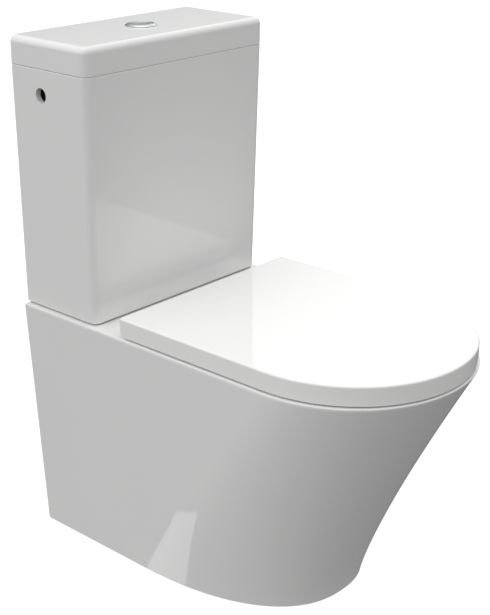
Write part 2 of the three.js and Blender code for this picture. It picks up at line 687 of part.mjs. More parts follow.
function makeCover() {
  const ring = (z, inset = 0) => dOutline(COVER, COVER_BACK + inset, inset).map(raise(z));
  const edge = 3;
  const outer = loft([
    ring(COVER_BOTTOM),
    ring(COVER_TOP - edge),
    ring(COVER_TOP - 0.3 * edge, 0.3 * edge),
    ring(COVER_TOP, edge),
  ]);
  const ceiling = COVER_TOP - COVER_WALL;
  const barFront = -HINGE.y + 10;
  const hollow = loft([
    dOutline(COVER, barFront, COVER_WALL).map(raise(COVER_BOTTOM - 5)),
    dOutline(COVER, barFront, COVER_WALL).map(raise(ceiling)),
  ]);
  // The rear bar is rolled under, so that it turns over the deck.
  const rearRoll = 13;
  const frontRoll = 8;
  const rollY = -COVER_BACK - rearRoll;
  const low = COVER_BOTTOM - 1;
  const rearCorner = cut(
    block(-200, 200, rollY, -COVER_BACK + 1, low, COVER_BOTTOM + rearRoll),
    barX(rearRoll, -201, 201, rollY, COVER_BOTTOM + rearRoll, 24),
  );
  const frontCorner = cut(
    block(-181, 181, -barFront - 1, -barFront + frontRoll, low, COVER_BOTTOM + frontRoll),
    barX(frontRoll, -182, 182, -barFront + frontRoll, COVER_BOTTOM + frontRoll),
  );
  const notches = SIDES.map(([, side]) => {
    const [x0, x1] = between(side, HINGE_X - 39, HINGE_X + 11);
    return block(x0, x1, -barFront - 1, -COVER_BACK + 1, low, ceiling);
  });
  const bores = SIDES.map(([, side]) =>
    barX(DAMPER_RADIUS + 0.4, ...between(side, HINGE_X + 10, HINGE_X + 37), HINGE.y, HINGE.z));
  add("seat_cover", cut(outer, hollow, rearCorner, frontCorner, ...notches, ...bores), duroplast);
}

function makeBuffers() {
  const places = [["rear", 150, -300], ["front", 105, -595]];
  for (const [name, side] of SIDES) {
    for (const [place, x, y] of places) {
      const pad = post(9, DECK + GAP, RING_BOTTOM - GAP, side * x, y, 20);
      add(`seat_buffer_${place}_${name}`, pad, clearRubber);
    }
    const buffer = post(6, RING_TOP + GAP, COVER_TOP - COVER_WALL - GAP, side * 95, -610, 16);
    add(`cover_buffer_${name}`, buffer, clearRubber);
  }
}

// ---------------------------------------------------------------- assembly

makePan();
makeTank();
makeLid();
makeCoupling();
makeValveBase();
makeValveTower();
makeSpindle();
makeLevers();
makeButtons();
makeFillValve();
makeHinges();
makeSeatRing();
makeCover();
makeBuffers();

const root = new THREE.Group();
root.add(suite);

export default root;
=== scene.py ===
"""A close coupled, back-to-wall toilet: glazed china, a slim wrap-over seat and its cistern's valve gear.

Laid out as an add-on and run as a script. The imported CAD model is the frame: every piece takes its place
from a node's box, rides on a CAD body and stands for the plain node that it covers. Lengths are metres, with
+Z up, +Y towards the wall behind the toilet and the nose of the pan towards -Y.
"""

import math

import bmesh
import bpy
from bpy.props import FloatProperty, FloatVectorProperty, PointerProperty, StringProperty
from mathutils import Matrix, Vector


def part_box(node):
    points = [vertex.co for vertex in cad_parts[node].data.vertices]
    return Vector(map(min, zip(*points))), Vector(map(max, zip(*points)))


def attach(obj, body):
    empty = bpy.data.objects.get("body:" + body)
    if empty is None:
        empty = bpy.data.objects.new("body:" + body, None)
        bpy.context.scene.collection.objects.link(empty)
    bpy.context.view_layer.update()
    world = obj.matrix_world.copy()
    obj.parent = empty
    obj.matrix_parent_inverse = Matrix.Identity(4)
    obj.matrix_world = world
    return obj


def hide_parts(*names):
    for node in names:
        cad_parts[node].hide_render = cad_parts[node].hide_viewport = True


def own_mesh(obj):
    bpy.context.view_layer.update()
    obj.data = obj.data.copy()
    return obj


bl_info = {
    "name": "Close coupled toilet",
    "version": (1, 0, 0),
    "blender": (4, 5, 0),
    "location": "3D View > Sidebar > Toilet",
    "description": "Builds a close coupled toilet around its CAD frame",
    "category": "Object",
}

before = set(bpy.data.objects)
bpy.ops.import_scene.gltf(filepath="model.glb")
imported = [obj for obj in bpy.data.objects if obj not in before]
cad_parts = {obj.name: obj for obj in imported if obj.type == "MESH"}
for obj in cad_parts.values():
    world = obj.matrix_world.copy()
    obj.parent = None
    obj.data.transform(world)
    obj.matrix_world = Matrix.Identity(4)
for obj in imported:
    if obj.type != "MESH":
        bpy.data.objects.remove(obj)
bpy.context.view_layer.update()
PICTURE = (490, 615)

MM = 0.001


def low(node):
    """Lowest corner of a CAD node."""
    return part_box(node)[0]


def high(node):
    """Highest corner of a CAD node."""
    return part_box(node)[1]


def centre(node):
    """Middle of a CAD node's box."""
    return (low(node) + high(node)) / 2


WALL = high("pan").y  # plane of the wall behind the toilet
DECK = high("pan").z  # top of the pan
SIDES = (("left", -1), ("right", 1))
GAP = 0.0003  # between pieces that rest on each other


# ---------------------------------------------------------------- shapes


def solid_object(name, bm):
    """A finished bmesh as an object at the origin, with its place in its mesh."""
    mesh = bpy.data.meshes.new(name)
    bm.to_mesh(mesh)
    bm.free()
    obj = bpy.data.objects.new(name, mesh)
    bpy.context.scene.collection.objects.link(obj)
    return obj


def baked(obj):
    """Applies an object's modifiers to its mesh."""
    bpy.context.view_layer.update()
    shape = bpy.data.meshes.new_from_object(obj.evaluated_get(bpy.context.evaluated_depsgraph_get()))
    obj.modifiers.clear()
    old, obj.data = obj.data, shape
    bpy.data.meshes.remove(old)
    shape.name = obj.name
    return obj


def combined(base, operation, *others):
    """Cuts or joins closed solids; the others are used up."""
    for other in others:
        step = base.modifiers.new(operation.lower(), "BOOLEAN")
        step.operation = operation
        step.solver = "EXACT"
        step.object = other
    baked(base)
    for other in others:
        bpy.data.objects.remove(other)
    return base


def cut(base, *tools):
    """Takes closed solids out of another."""
    return combined(base, "DIFFERENCE", *tools)


def joined(base, *others):
    """Joins closed solids to another."""
    return combined(base, "UNION", *others)


def extruded_row(bm, row):
    """Extrudes a closed row of vertices and returns the new row in the same order."""
    count = len(row)
    edges = [bm.edges.get((row[i], row[(i + 1) % count])) for i in range(count)]
    made = bmesh.ops.extrude_edge_only(bm, edges=edges)["geom"]
    old = set(row)
    above = {}
    for vert in made:
        if isinstance(vert, bmesh.types.BMVert):
            below = next(e.other_vert(vert) for e in vert.link_edges if e.other_vert(vert) in old)
            above[below] = vert
    return [above[vert] for vert in row]


def lofted(name, rings, closed=False):
    """Skins rings of points that have the same count; both ends are capped, or joined where closed."""
    bm = bmesh.new()
    first = bmesh.ops.create_circle(bm, segments=len(rings[0]), radius=1)["verts"]
    row = first
    for vert, place in zip(row, rings[0]):
        vert.co = place
    for ring in rings[1:]:
        row = extruded_row(bm, row)
        for vert, place in zip(row, ring):
            vert.co = place
    if closed:
        loops = [[bm.edges.get((r[i], r[(i + 1) % len(r)])) for i in range(len(r))] for r in (first, row)]
        bmesh.ops.bridge_loops(bm, edges=loops[0] + loops[1])
    else:
        for end in (first, row):
            bmesh.ops.contextual_create(bm, geom=end)
    bmesh.ops.recalc_face_normals(bm, faces=bm.faces)
    return solid_object(name, bm)


def spun(name, profile, at, steps=64):
    """Turns a closed or axis-to-axis profile of (radius, height) about an upright axis at a point."""
    bm = bmesh.new()
    verts = [bm.verts.new((radius, 0, height)) for radius, height in profile]
    edges = [bm.edges.new(pair) for pair in zip(verts, verts[1:])]
    if profile[0][0] > 0:
        edges.append(bm.edges.new((verts[-1], verts[0])))
    bmesh.ops.spin(
        bm, geom=verts + edges, cent=(0, 0, 0), axis=(0, 0, 1), dvec=(0, 0, 0),
        angle=2 * math.pi, steps=steps, use_merge=True, use_duplicate=False,
    )
    bmesh.ops.remove_doubles(bm, verts=bm.verts, dist=1e-6)
    bmesh.ops.recalc_face_normals(bm, faces=bm.faces)
    bmesh.ops.translate(bm, verts=bm.verts, vec=at)
    return solid_object(name, bm)


def softened(profile, radius):
    """Breaks the corners of a profile of (radius, height)."""
    closed = profile[0][0] > 0
    points = []
    for i, corner in enumerate(profile):
        if not closed and i in (0, len(profile) - 1):
            points.append(corner)
            continue
        here = Vector(corner)
        arms = [Vector(profile[k]) - here for k in (i - 1, (i + 1) % len(profile))]
        before, after = (here + arm.normalized() * min(radius, 0.3 * arm.length) for arm in arms)
        points += [tuple(before), tuple(0.25 * before + 0.5 * here + 0.25 * after), tuple(after)]
    return points


def turned(name, profile, at, soft=0.0005, steps=48):
    """A turned piece about the upright axis of a place, with its corners broken."""
    return spun(name, softened(profile, soft), (at.x, at.y, 0), steps)


def ridged(radius, depth, foot, top, pitch):
    """(radius, height) points up the outside of a thread."""
    count = round((top - foot) / pitch)
    step = (top - foot) / count
    points = []
    for i in range(count):
        points += [(radius - depth, foot + i * step), (radius, foot + (i + 0.5) * step)]
    return points + [(radius - depth, top)]


def ring_of(make, count, at, start=0.0):
    """Copies of one object, turned evenly about an upright axis."""
    made = [make()]
    for i in range(1, count):
        copy = made[0].copy()
        copy.data = made[0].data.copy()
        bpy.context.scene.collection.objects.link(copy)
        made.append(copy)
    for i, obj in enumerate(made):
        turn = Matrix.Rotation(math.radians(start + 360 * i / count), 4, "Z")
        obj.data.transform(Matrix.Translation((at.x, at.y, 0)) @ turn @ Matrix.Translation((-at.x, -at.y,
                                                                                            0)))
    return made


def coil(name, at, radius, wire, foot, top, turns, steps=28):
    """A closed wire wound about an upright axis."""
    bm = bmesh.new()
    loop = bmesh.ops.create_circle(bm, segments=10, radius=wire)["verts"]
    bmesh.ops.rotate(bm, verts=loop, cent=(0, 0, 0), matrix=Matrix.Rotation(math.pi / 2, 3, "X"))
    bmesh.ops.translate(bm, verts=loop, vec=(radius, 0, foot + wire))
    count = round(turns * steps)
    rise = (top - foot - 2 * wire) / count
    bmesh.ops.spin(
        bm, geom=bm.verts[:] + bm.edges[:], cent=(0, 0, 0), axis=(0, 0, 1), dvec=(0, 0, rise),
        angle=2 * math.pi * turns, steps=count, use_merge=False, use_duplicate=False)
    bmesh.ops.holes_fill(bm, edges=[edge for edge in bm.edges if edge.is_boundary], sides=0)
    bmesh.ops.recalc_face_normals(bm, faces=bm.faces)
    bmesh.ops.translate(bm, verts=bm.verts, vec=(at.x, at.y, 0))
    return solid_object(name, bm)


def rounded_bar(name, low_corner, high_corner, bevel=0.0, segments=3):
    """A block between two corners with all its edges rounded."""
    bm = bmesh.new()
    bmesh.ops.create_cube(bm, size=1)
    span = Vector(high_corner) - Vector(low_corner)
    bmesh.ops.scale(bm, vec=span, verts=bm.verts)
    bmesh.ops.translate(bm, vec=(Vector(low_corner) + Vector(high_corner)) / 2, verts=bm.verts)
    if bevel:
        bmesh.ops.bevel(
            bm, geom=bm.edges[:], offset=bevel, segments=segments, affect="EDGES", profile=0.5, material=-1)
    return solid_object(name, bm)


def rod(name, start, end, radius, bevel=0.0, segments=48, far_radius=None):
    """A round bar between two points, with its rims rounded."""
    start, end = Vector(start), Vector(end)
    axis = end - start
    bm = bmesh.new()
    bmesh.ops.create_cone(
        bm, cap_ends=True, segments=segments, radius1=radius,
        radius2=radius if far_radius is None else far_radius, depth=axis.length)
    if bevel:
        rims = [e for e in bm.edges if abs(e.verts[0].co.z - e.verts[1].co.z) < 1e-9]
        bmesh.ops.bevel(
            bm, geom=rims, offset=bevel, segments=3, affect="EDGES", profile=0.5, material=-1)
    turn = axis.to_track_quat("Z", "Y").to_matrix().to_4x4()
    bmesh.ops.transform(bm, matrix=Matrix.Translation((start + end) / 2) @ turn, verts=bm.verts)
    return solid_object(name, bm)


def smoothed(obj, angle=32, bevel=0.0, segments=2):
    """Rounds the sharp edges where asked, and shades curved faces smooth and flat faces flat."""
    if bevel:
        step = obj.modifiers.new("edges", "BEVEL")
        step.width = bevel
        step.segments = segments
        step.limit_method = "ANGLE"
        step.angle_limit = math.radians(angle)
        step.harden_normals = False
        step.use_clamp_overlap = True
        baked(obj)
    obj.data.shade_smooth()
    obj.data.set_sharp_from_angle(angle=math.radians(angle))
    step = obj.modifiers.new("flats", "WEIGHTED_NORMAL")
    step.keep_sharp = True
    step.weight = 50
    return baked(obj)


def placed(obj, body, slot, *nodes):
    """Rides a finished piece on its body, in place of the CAD nodes that it stands for."""
    obj.data.materials.clear()
    obj.data.materials.append(finish(slot))
    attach(obj, body)
    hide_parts(*nodes)


def raised(outline, z):
    """A flat outline at a height."""
    return [Vector((x, y, z)) for x, y in outline]


def arc(cx, cy, radius, start, end, steps):
    """Points on an arc, in degrees."""
    angles = [math.radians(start + (end - start) * i / steps) for i in range(steps + 1)]
    return [(cx + radius * math.cos(a), cy + radius * math.sin(a)) for a in angles]


def superellipse(angle, half, reach, power):
    """A point of a superellipse about the origin."""
    c, s = math.cos(angle), math.sin(angle)
    across = half * math.copysign(abs(c) ** (2 / power), c)
    along = reach * math.copysign(abs(s) ** (2 / power), s)
    return across, along


def d_outline(half, straight, front, power, back, inset=0.0, corner=0.002, side=16, nose=88):
    """A D in plan, from its back left corner round the nose; distances run out from the wall."""
    wide, reach = half - inset, front - inset - straight
    rear = back + inset
    left = arc(-wide + corner, WALL - rear - corner, corner, 90, 180, 4)
    right = arc(wide - corner, WALL - rear - corner, corner, 0, 90, 4)
    flank = [rear + corner + (straight - rear - corner) * i / side for i in range(1, side)]
    points = left + [(-wide, WALL - y) for y in flank]
    for i in range(nose + 1):
        x, y = superellipse(math.pi * i / nose, wide, reach, power)
        points.append((-x, WALL - straight - y))
    points += [(wide, WALL - y) for y in reversed(flank)] + right
    return points


def oval(half, back, front, power=2.3, steps=96):
    """A superellipse between two distances from the wall."""
    middle, reach = (back + front) / 2, (front - back) / 2
    points = [superellipse(2 * math.pi * i / steps, half, reach, power) for i in range(steps)]
    return [(x, WALL - middle + y) for x, y in points]


def box_outline(half, depth, inset=0.0, wall=0.0, corner=0.010, steps=10):
    """A rectangle against the wall, with round corners in front."""
    x, front, back = half - inset, WALL - depth + inset, WALL - wall
    rear = 0.002
    radius = max(corner - inset, rear)
    return (
        arc(-x + rear, back - rear, rear, 90, 180, steps)
        + arc(-x + radius, front + radius, radius, 180, 270, steps)
        + arc(x - radius, front + radius, radius, 270, 360, steps)
        + arc(x - rear, back - rear, rear, 0, 90, steps)
    )


def fillet(radius, steps=6):
    """(inset, drop below the edge's top) along a quarter round, from the side up to the top."""
    angles = [math.pi / 2 * i / steps for i in range(steps + 1)]
    return [(radius * (1 - math.cos(a)), radius * (1 - math.sin(a))) for a in angles]


def eased_edge(slack, tight, turn=20, steps=6):
    """(inset, drop) up an edge that leans in on a slack curve and then closes on a tight one."""
    inset = rise = 0.0
    points = [(inset, rise)]
    for radius, start, end in ((slack, 0, turn), (tight, turn, 90)):
        for i in range(steps):
            a, b = (math.radians(start + (end - start) * k / steps) for k in (i, i + 1))
            inset += radius * (math.cos(a) - math.cos(b))
            rise += radius * (math.sin(b) - math.sin(a))
            points.append((inset, rise))
    return [(inset, points[-1][1] - rise) for inset, rise in points]


# ---------------------------------------------------------------- materials


def linear(hex_colour):
    """An sRGB hex colour as linear red, green, blue and alpha."""
    parts = [int(hex_colour[i:i + 2], 16) / 255 for i in (1, 3, 5)]
    return tuple(c / 12.92 if c <= 0.04045 else ((c + 0.055) / 1.055) ** 2.4 for c in parts) + (1.0,)


def node(tree, kind, settings=None, feeds=(), **links):
    """Adds a shader node, sets its properties and sockets, and feeds its inputs in order or by name."""
    made = tree.nodes.new(kind)
    for key, value in (settings or {}).items():
        if key in made.inputs:
            made.inputs[key].default_value = value
        else:
            setattr(made, key, value)
    named = [(made.inputs[key.replace("_", " ")], source) for key, source in links.items()]
    for socket, source in [*zip(made.inputs, feeds), *named]:
        if isinstance(source, bpy.types.NodeSocket):
            tree.links.new(source, socket)
        else:
            socket.default_value = source
    return made


def new_material(name, **settings):
    """A material with one Principled shader, whose sockets are set by name."""
    material = bpy.data.materials.new(name)
    material.use_nodes = True
    shader = material.node_tree.nodes["Principled BSDF"]
    for key, value in settings.items():
        shader.inputs[key.replace("_", " ")].default_value = value
    return material, material.node_tree, shader


def mottled(tree, shader, size_mm, hex_low, hex_high, rough_low, rough_high, detail=3.0):
    """Lets colour and roughness drift over a surface in patches of a real size."""
    place = node(tree, "ShaderNodeTexCoord")
    noise = node(
        tree, "ShaderNodeTexNoise", {"Scale": 1000 / size_mm, "Detail": detail, "Roughness": 0.55},
        Vector=place.outputs["Object"])
    tint = node(tree, "ShaderNodeMix", {"data_type": "RGBA"}, Factor=noise.outputs["Fac"])
    colours = [socket for socket in tint.inputs if socket.type == "RGBA"]
    for socket, hex_colour in zip(colours, (hex_low, hex_high)):
        socket.default_value = linear(hex_colour)
    result = next(socket for socket in tint.outputs if socket.type == "RGBA")
    tree.links.new(result, shader.inputs["Base Color"])
    rough = node(
        tree, "ShaderNodeMapRange", {"To Min": rough_low, "To Max": rough_high}, Value=noise.outputs["Fac"])
    tree.links.new(rough.outputs["Result"], shader.inputs["Roughness"])
    return place


def rippled(tree, shader, place, size_mm, height_mm, strength=1.0, detail=2.0):
    """Adds a bump of a real width and height."""
    waves = node(
        tree, "ShaderNodeTexNoise", {"Scale": 1000 / size_mm, "Detail": detail},
        Vector=place.outputs["Object"])
    bump = node(
        tree, "ShaderNodeBump", {"Strength": strength, "Distance": height_mm * MM},
        Height=waves.outputs["Fac"])
    tree.links.new(bump.outputs["Normal"], shader.inputs["Normal"])


def glazed_vitreous_china(look):
    """Slip-cast vitreous china under an opaque white glaze, sprayed on and fired to a glassy skin."""
    # The glaze flows as it is fired, so it is very smooth, with long faint waves and a slightly uneven gloss.
    material, tree, shader = new_material("glazed_vitreous_china", IOR=1.52)
    place = mottled(tree, shader, 160, look.glaze_shade, look.glaze_white, 0.03, 0.055)
    rippled(tree, shader, place, 42, 0.03, strength=0.3, detail=1.0)
    return material


def polished_duroplast(look):
    """Urea resin, compression moulded in a polished tool: hard, dense and a shade whiter than the china."""
    # A machined and polished tool leaves it flatter than glaze, so its reflections are straight.
    material, tree, shader = new_material("polished_duroplast", IOR=1.55)
    mottled(tree, shader, 220, look.seat_shade, look.seat_white, 0.025, 0.04)
    return material


def chrome_plate():
    """Bright chrome over nickel on moulded ABS: a mirror with a faint bluish cast."""
    material, tree, shader = new_material("chrome_plate", Metallic=1.0)
    place = mottled(tree, shader, 12, "#c6cacd", "#d2d5d7", 0.05, 0.10)
    rippled(tree, shader, place, 9, 0.01, strength=0.3)
    return material


def zinc_plated_steel():
    """Cold-headed steel, barrel plated in zinc: dull silver, patchy and finely scuffed by tumbling."""
    material, tree, shader = new_material("zinc_plated_steel", Metallic=1.0)
    place = mottled(tree, shader, 5, "#9b9e9d", "#bcbdb9", 0.28, 0.48, detail=5.0)
    rippled(tree, shader, place, 0.8, 0.02, strength=0.5)
    return material


def moulded_plastic(name, hex_low, hex_high):
    """Injection-moulded polypropylene or acetal off a spark-eroded tool: a fine satin grain."""
    # The grain of such a tool is about 0.3 mm; it is drawn at 0.8 mm so that it shows.
    material, tree, shader = new_material(name, IOR=1.49)
    place = mottled(tree, shader, 30, hex_low, hex_high, 0.34, 0.46)
    rippled(tree, shader, place, 0.8, 0.03, strength=0.35)
    return material


def moulded_rubber(name, hex_low, hex_high, rough):
    """Compression-moulded EPDM or silicone: soft, close-grained and without gloss."""
    material, tree, shader = new_material(name, IOR=1.5)
    place = mottled(tree, shader, 14, hex_low, hex_high, rough, rough + 0.12)
    rippled(tree, shader, place, 1.2, 0.05, strength=0.5)
    return material


MATERIALS = {}


def finish(slot):
    """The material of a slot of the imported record, made once."""
    look = bpy.context.scene.toilet_look
    makers = {
        "glazed_china": lambda: glazed_vitreous_china(look),
        "duroplast": lambda: polished_duroplast(look),
        "chrome": chrome_plate,
        "zinc_steel": zinc_plated_steel,
        "white_plastic": lambda: moulded_plastic("moulded_white_acetal", "#dddfe1", "#e8eaeb"),
        "blue_plastic": lambda: moulded_plastic("moulded_blue_polypropylene", "#3f6ea6", "#4b7db6"),
        "grey_plastic": lambda: moulded_plastic("moulded_grey_polypropylene", "#8d9196", "#9a9ea2"),
        "black_rubber": lambda: moulded_rubber("moulded_black_epdm", "#1b1b1c", "#262627", 0.62),
        "clear_rubber": lambda: moulded_rubber("moulded_pale_silicone", "#cdd2d1", "#dadddc", 0.42),
    }
    if slot not in MATERIALS:
        MATERIALS[slot] = makers[slot]()
    return MATERIALS[slot]


# ---------------------------------------------------------------- what a user may change


class ToiletSizes(bpy.types.PropertyGroup):
    """Sizes that the CAD boxes don't give."""

    china: FloatProperty(name="China", description="Wall of the pan", default=0.012, unit="LENGTH")
    tank_wall: FloatProperty(
        name="Tank wall", description="Wall of the cistern", default=0.009, unit="LENGTH")
    rim_round: FloatProperty(
        name="Rim round", description="Radius on which the pan's side turns in to its deck", default=0.012,
        unit="LENGTH")
    rim_lip: FloatProperty(
        name="Rim lip", description="Radius on which that edge closes", default=0.0015, unit="LENGTH")
    lid_round: FloatProperty(
        name="Lid round", description="Radius of the cistern lid's top edge", default=0.010, unit="LENGTH")
    tank_corner: FloatProperty(
        name="Tank corner", description="Radius of the cistern's upright corners", default=0.013,
        unit="LENGTH")
    cover_round: FloatProperty(
        name="Cover round", description="Radius of the seat cover's top edge", default=0.003, unit="LENGTH")
    cover_wall: FloatProperty(
        name="Cover wall", description="Wall of the seat cover", default=0.0055, unit="LENGTH")


class ToiletLook(bpy.types.PropertyGroup):
    """Colours, as sRGB hex text, and the strength of the light."""

    glaze_white: StringProperty(name="Glaze", description="Glaze where it lies thick", default="#f1f1f0")
    glaze_shade: StringProperty(name="Thin glaze", description="Glaze where it thins", default="#ecedec")
    seat_white: StringProperty(name="Seat", description="Colour of the seat", default="#f6f6f5")
    seat_shade: StringProperty(name="Seat shade", description="Its darker drift", default="#f3f3f2")
    floor: FloatVectorProperty(
        name="Floor", description="Colour of the studio floor", default=(0.3, 0.3, 0.3), subtype="COLOR")
    floor_glow: FloatProperty(
        name="Floor glow", description="How far the floor is lit from all sides", default=0.86)


# ---------------------------------------------------------------- pan

# Outline at the floor and at the deck: half width, end of the straight sides, nose and the nose's squareness.
PAN_FOOT = (0.162, 0.220, 0.496, 2.34)
PAN_TOP = (0.1894, 0.486, 0.670, 2.04)
NOSE_LEAN = 1.22  # above 1, so the nose runs out faster towards the deck

# The bowl from its sump to its mouth: height, half width, distance of its back and its front from the wall.
BOWL = (
    (0.112, 0.034, 0.300, 0.378),
    (0.135, 0.044, 0.295, 0.400),
    (0.170, 0.058, 0.292, 0.446),
    (0.215, 0.082, 0.291, 0.505),
    (0.265, 0.106, 0.292, 0.552),
    (0.315, 0.125, 0.294, 0.585),
    (0.355, 0.137, 0.296, 0.604),
    (0.366, 0.140, 0.296, 0.608),
)
MOUTH = (0.131, 0.304, 0.599)  # half width, and distances of its back and its front from the wall
LIP_ROUND = 0.009  # radius of the lip's underside, between the bowl and its mouth
BOWL_WALL = 0.011
# The middle line of the trapway, from the bowl's sump to the outlet: distance from the wall and height.
TRAP_LINE = (
    (0.372, 0.165), (0.342, 0.104), (0.300, 0.068), (0.252, 0.068), (0.210, 0.106),
    (0.180, 0.158), (0.142, 0.187), (0.100, 0.184), (0.060, 0.180),
)
TRAP_RADIUS = 0.037
TRAP_WALL = 0.010
OUTLET = {"z": 0.180, "radius": 0.051, "wall": 0.009, "end": 0.014}


def between_keys(keys, share):
    """A smooth curve through rows of numbers, at a share of its length."""
    spans = len(keys) - 1
    place = min(max(share, 0), 1) * spans
    i = min(int(place), spans - 1)
    t = place - i
    rows = [keys[min(max(k, 0), spans)] for k in (i - 1, i, i + 1, i + 2)]
    values = []
    for a, b, c, d in zip(*rows):
        values.append(0.5 * (2 * b + (c - a) * t + (2 * a - 5 * b + 4 * c - d) * t ** 2
                             + (3 * b - a - 3 * c + d) * t ** 3))
    return values


def pan_section(share):
    """The pan's outline at a share of its height: 0 at the floor, 1 at the deck."""
    lean = (1, 1, NOSE_LEAN, 1)
    return [foot + (top - foot) * share ** power for foot, top, power in zip(PAN_FOOT, PAN_TOP, lean)]


def skirt_rings(edge_line, levels=40):
    """The outside of the pan, with a small round at the floor and a larger one at the deck."""
    foot = 0.0015
    edge = edge_line[0][1]
    rings = [raised(d_outline(*pan_section(0), 0, foot), 0)]
    for i in range(levels + 1):
        z = foot + (DECK - edge - foot) * i / levels
        rings.append(raised(d_outline(*pan_section(z / DECK), 0), z))
    for inset, drop in edge_line[1:]:
        rings.append(raised(d_outline(*pan_section(1 - drop / DECK), 0, inset), DECK - drop))
    return rings


def bowl_rings(grow=0.0, sink=0.0, levels=36):
    """The bowl from its sump up, made wider and lower where asked."""
    keys = [between_keys(BOWL, i / levels) for i in range(levels + 1)]
    return [raised(oval(half + grow, back - grow, front + grow), z - sink) for z, half, back, front in keys]


def bowl_inside():
    """The bowl, closed in by the curved underside of its lip, and its mouth straight through the deck."""
    rings = bowl_rings()
    shoulder, *bowl_top = BOWL[-1]
    for inset, drop in fillet(LIP_ROUND)[1:]:
        share = inset / LIP_ROUND
        section = [wide + (narrow - wide) * share for wide, narrow in zip(bowl_top, MOUTH)]
        rings.append(raised(oval(*section), shoulder + LIP_ROUND - drop))
    rings.append(raised(oval(*MOUTH), DECK + 0.01))
    return lofted("bowl_inside", rings)


def pipe(name, line, radius, steps=48, sides=40):
    """A round pipe whose centre line lies in the middle plane."""
    points = [between_keys(line, i / steps) for i in range(steps + 1)]
    rings = []
    for i, (y, z) in enumerate(points):
        before, after = points[max(i - 1, 0)], points[min(i + 1, steps)]
        along = Vector((0, before[0] - after[0], after[1] - before[1])).normalized()
        up = Vector((1, 0, 0)).cross(along)
        middle = Vector((0, WALL - y, z))
        turns = [2 * math.pi * k / sides for k in range(sides)]
        rings.append([middle + radius * (math.cos(a) * Vector((1, 0, 0)) + math.sin(a) * up) for a in turns])
    return lofted(name, rings)


def hole(x, y, radius, z0, z1, flare=0.0008):
    """A drill with a flared shoulder, so that the edge it leaves at z1 is broken."""
    profile = [
        (0, z0), (radius, z0), (radius, z1 - flare), (radius + flare * 0.3, z1 - flare * 0.3),
        (radius + flare, z1), (radius + flare, z1 + 0.004), (0, z1 + 0.004)]
    return spun("drill", profile, (x, y, 0), steps=48)


class TOILET_OT_pan(bpy.types.Operator):
    """Casts the skirted pan with its bowl, trapway, flush duct and outlet"""

    bl_idname = "toilet.pan"
    bl_label = "Pan"

    def execute(self, context):
        sizes = context.scene.toilet_sizes
        pan = lofted("pan_casting", skirt_rings(eased_edge(sizes.rim_round, sizes.rim_lip)))
        deck_plate, below, levels = 0.020, 0.002, 16
        inner = []
        for i in range(levels + 1):
            z = -below + (DECK - deck_plate + below) * i / levels
            inner.append(raised(d_outline(*pan_section(max(z, 0) / DECK), -0.03, sizes.china), z))
        cut(pan, lofted("pan_hollow", inner))

        y = centre("flush_valve_tower").y
        well = {"radius": 0.047, "floor": DECK - 0.024}
        duct = {"half": 0.034, "top": DECK - 0.037, "bottom": DECK - 0.070}
        bowl_wall = bowl_rings(BOWL_WALL, BOWL_WALL)
        _, half, back, front = BOWL[-1]
        bowl_wall.append(raised(oval(half + BOWL_WALL, back - BOWL_WALL, front + BOWL_WALL), DECK - 0.004))
        spigot_start, spigot_end = WALL - 0.095, WALL - OUTLET["end"]
        joined(
            pan,
            lofted("bowl_wall", bowl_wall),
            pipe("trap_wall", TRAP_LINE, TRAP_RADIUS + TRAP_WALL),
            rod("spigot", (0, spigot_start, OUTLET["z"]), (0, spigot_end, OUTLET["z"]),
                OUTLET["radius"], 0.002, 72),
            rounded_bar("duct_wall", (-0.046, WALL - 0.300, duct["bottom"] - 0.012),
                        (0.046, WALL - 0.026, DECK - 0.019), 0.004),
            rod("well_wall", (0, y, duct["top"] - 0.005), (0, y, DECK - 0.019), well["radius"] + 0.012,
                segments=64),
        )
        deck_drills = [hole(0, y, well["radius"], well["floor"], DECK, 0.002)]
        deck_drills.append(hole(centre("fill_valve_body").x, y, 0.023, DECK - 0.04, DECK))
        for side, _ in SIDES:
            bolt, stud = centre(f"coupling_bolt_{side}"), centre(f"hinge_stud_{side}")
            deck_drills.append(hole(bolt.x, bolt.y, 0.006, DECK - 0.04, DECK))
            deck_drills.append(hole(stud.x, stud.y, 0.007, DECK - 0.04, DECK))
        cut(
            pan,
            bowl_inside(),
            pipe("trap_bore", TRAP_LINE, TRAP_RADIUS),
            rod("spigot_bore", (0, WALL - 0.070, OUTLET["z"]), (0, WALL, OUTLET["z"]),
                OUTLET["radius"] - OUTLET["wall"], 0, 72),
            rounded_bar("duct_bore", (-duct["half"], WALL - 0.316, duct["bottom"]),
                        (duct["half"], WALL - 0.038, duct["top"]), 0.006),
            rod("well_bore", (0, y, duct["top"] - 0.010), (0, y, DECK), 0.025),
            *deck_drills,
        )
        smoothed(pan)
        placed(pan, "root", "glazed_china", "pan")
        return {"FINISHED"}


# ---------------------------------------------------------------- cistern

# Half width and depth of the tank at its foot and at its head; the lid has the size of its head.
TANK_FOOT = (0.1822, 0.1545)
TANK_HEAD = (0.189, 0.158)
INLET = {"from_wall": 0.062, "z": 0.7317, "radius": 0.011}


def tank_section(z):
    """Half width and depth of the tank, which widens a little towards its top."""
    bottom, top = low("cistern_tank").z, high("cistern_tank").z
    share = (z - bottom) / (top - bottom)
    return [foot + (head - foot) * share for foot, head in zip(TANK_FOOT, TANK_HEAD)]


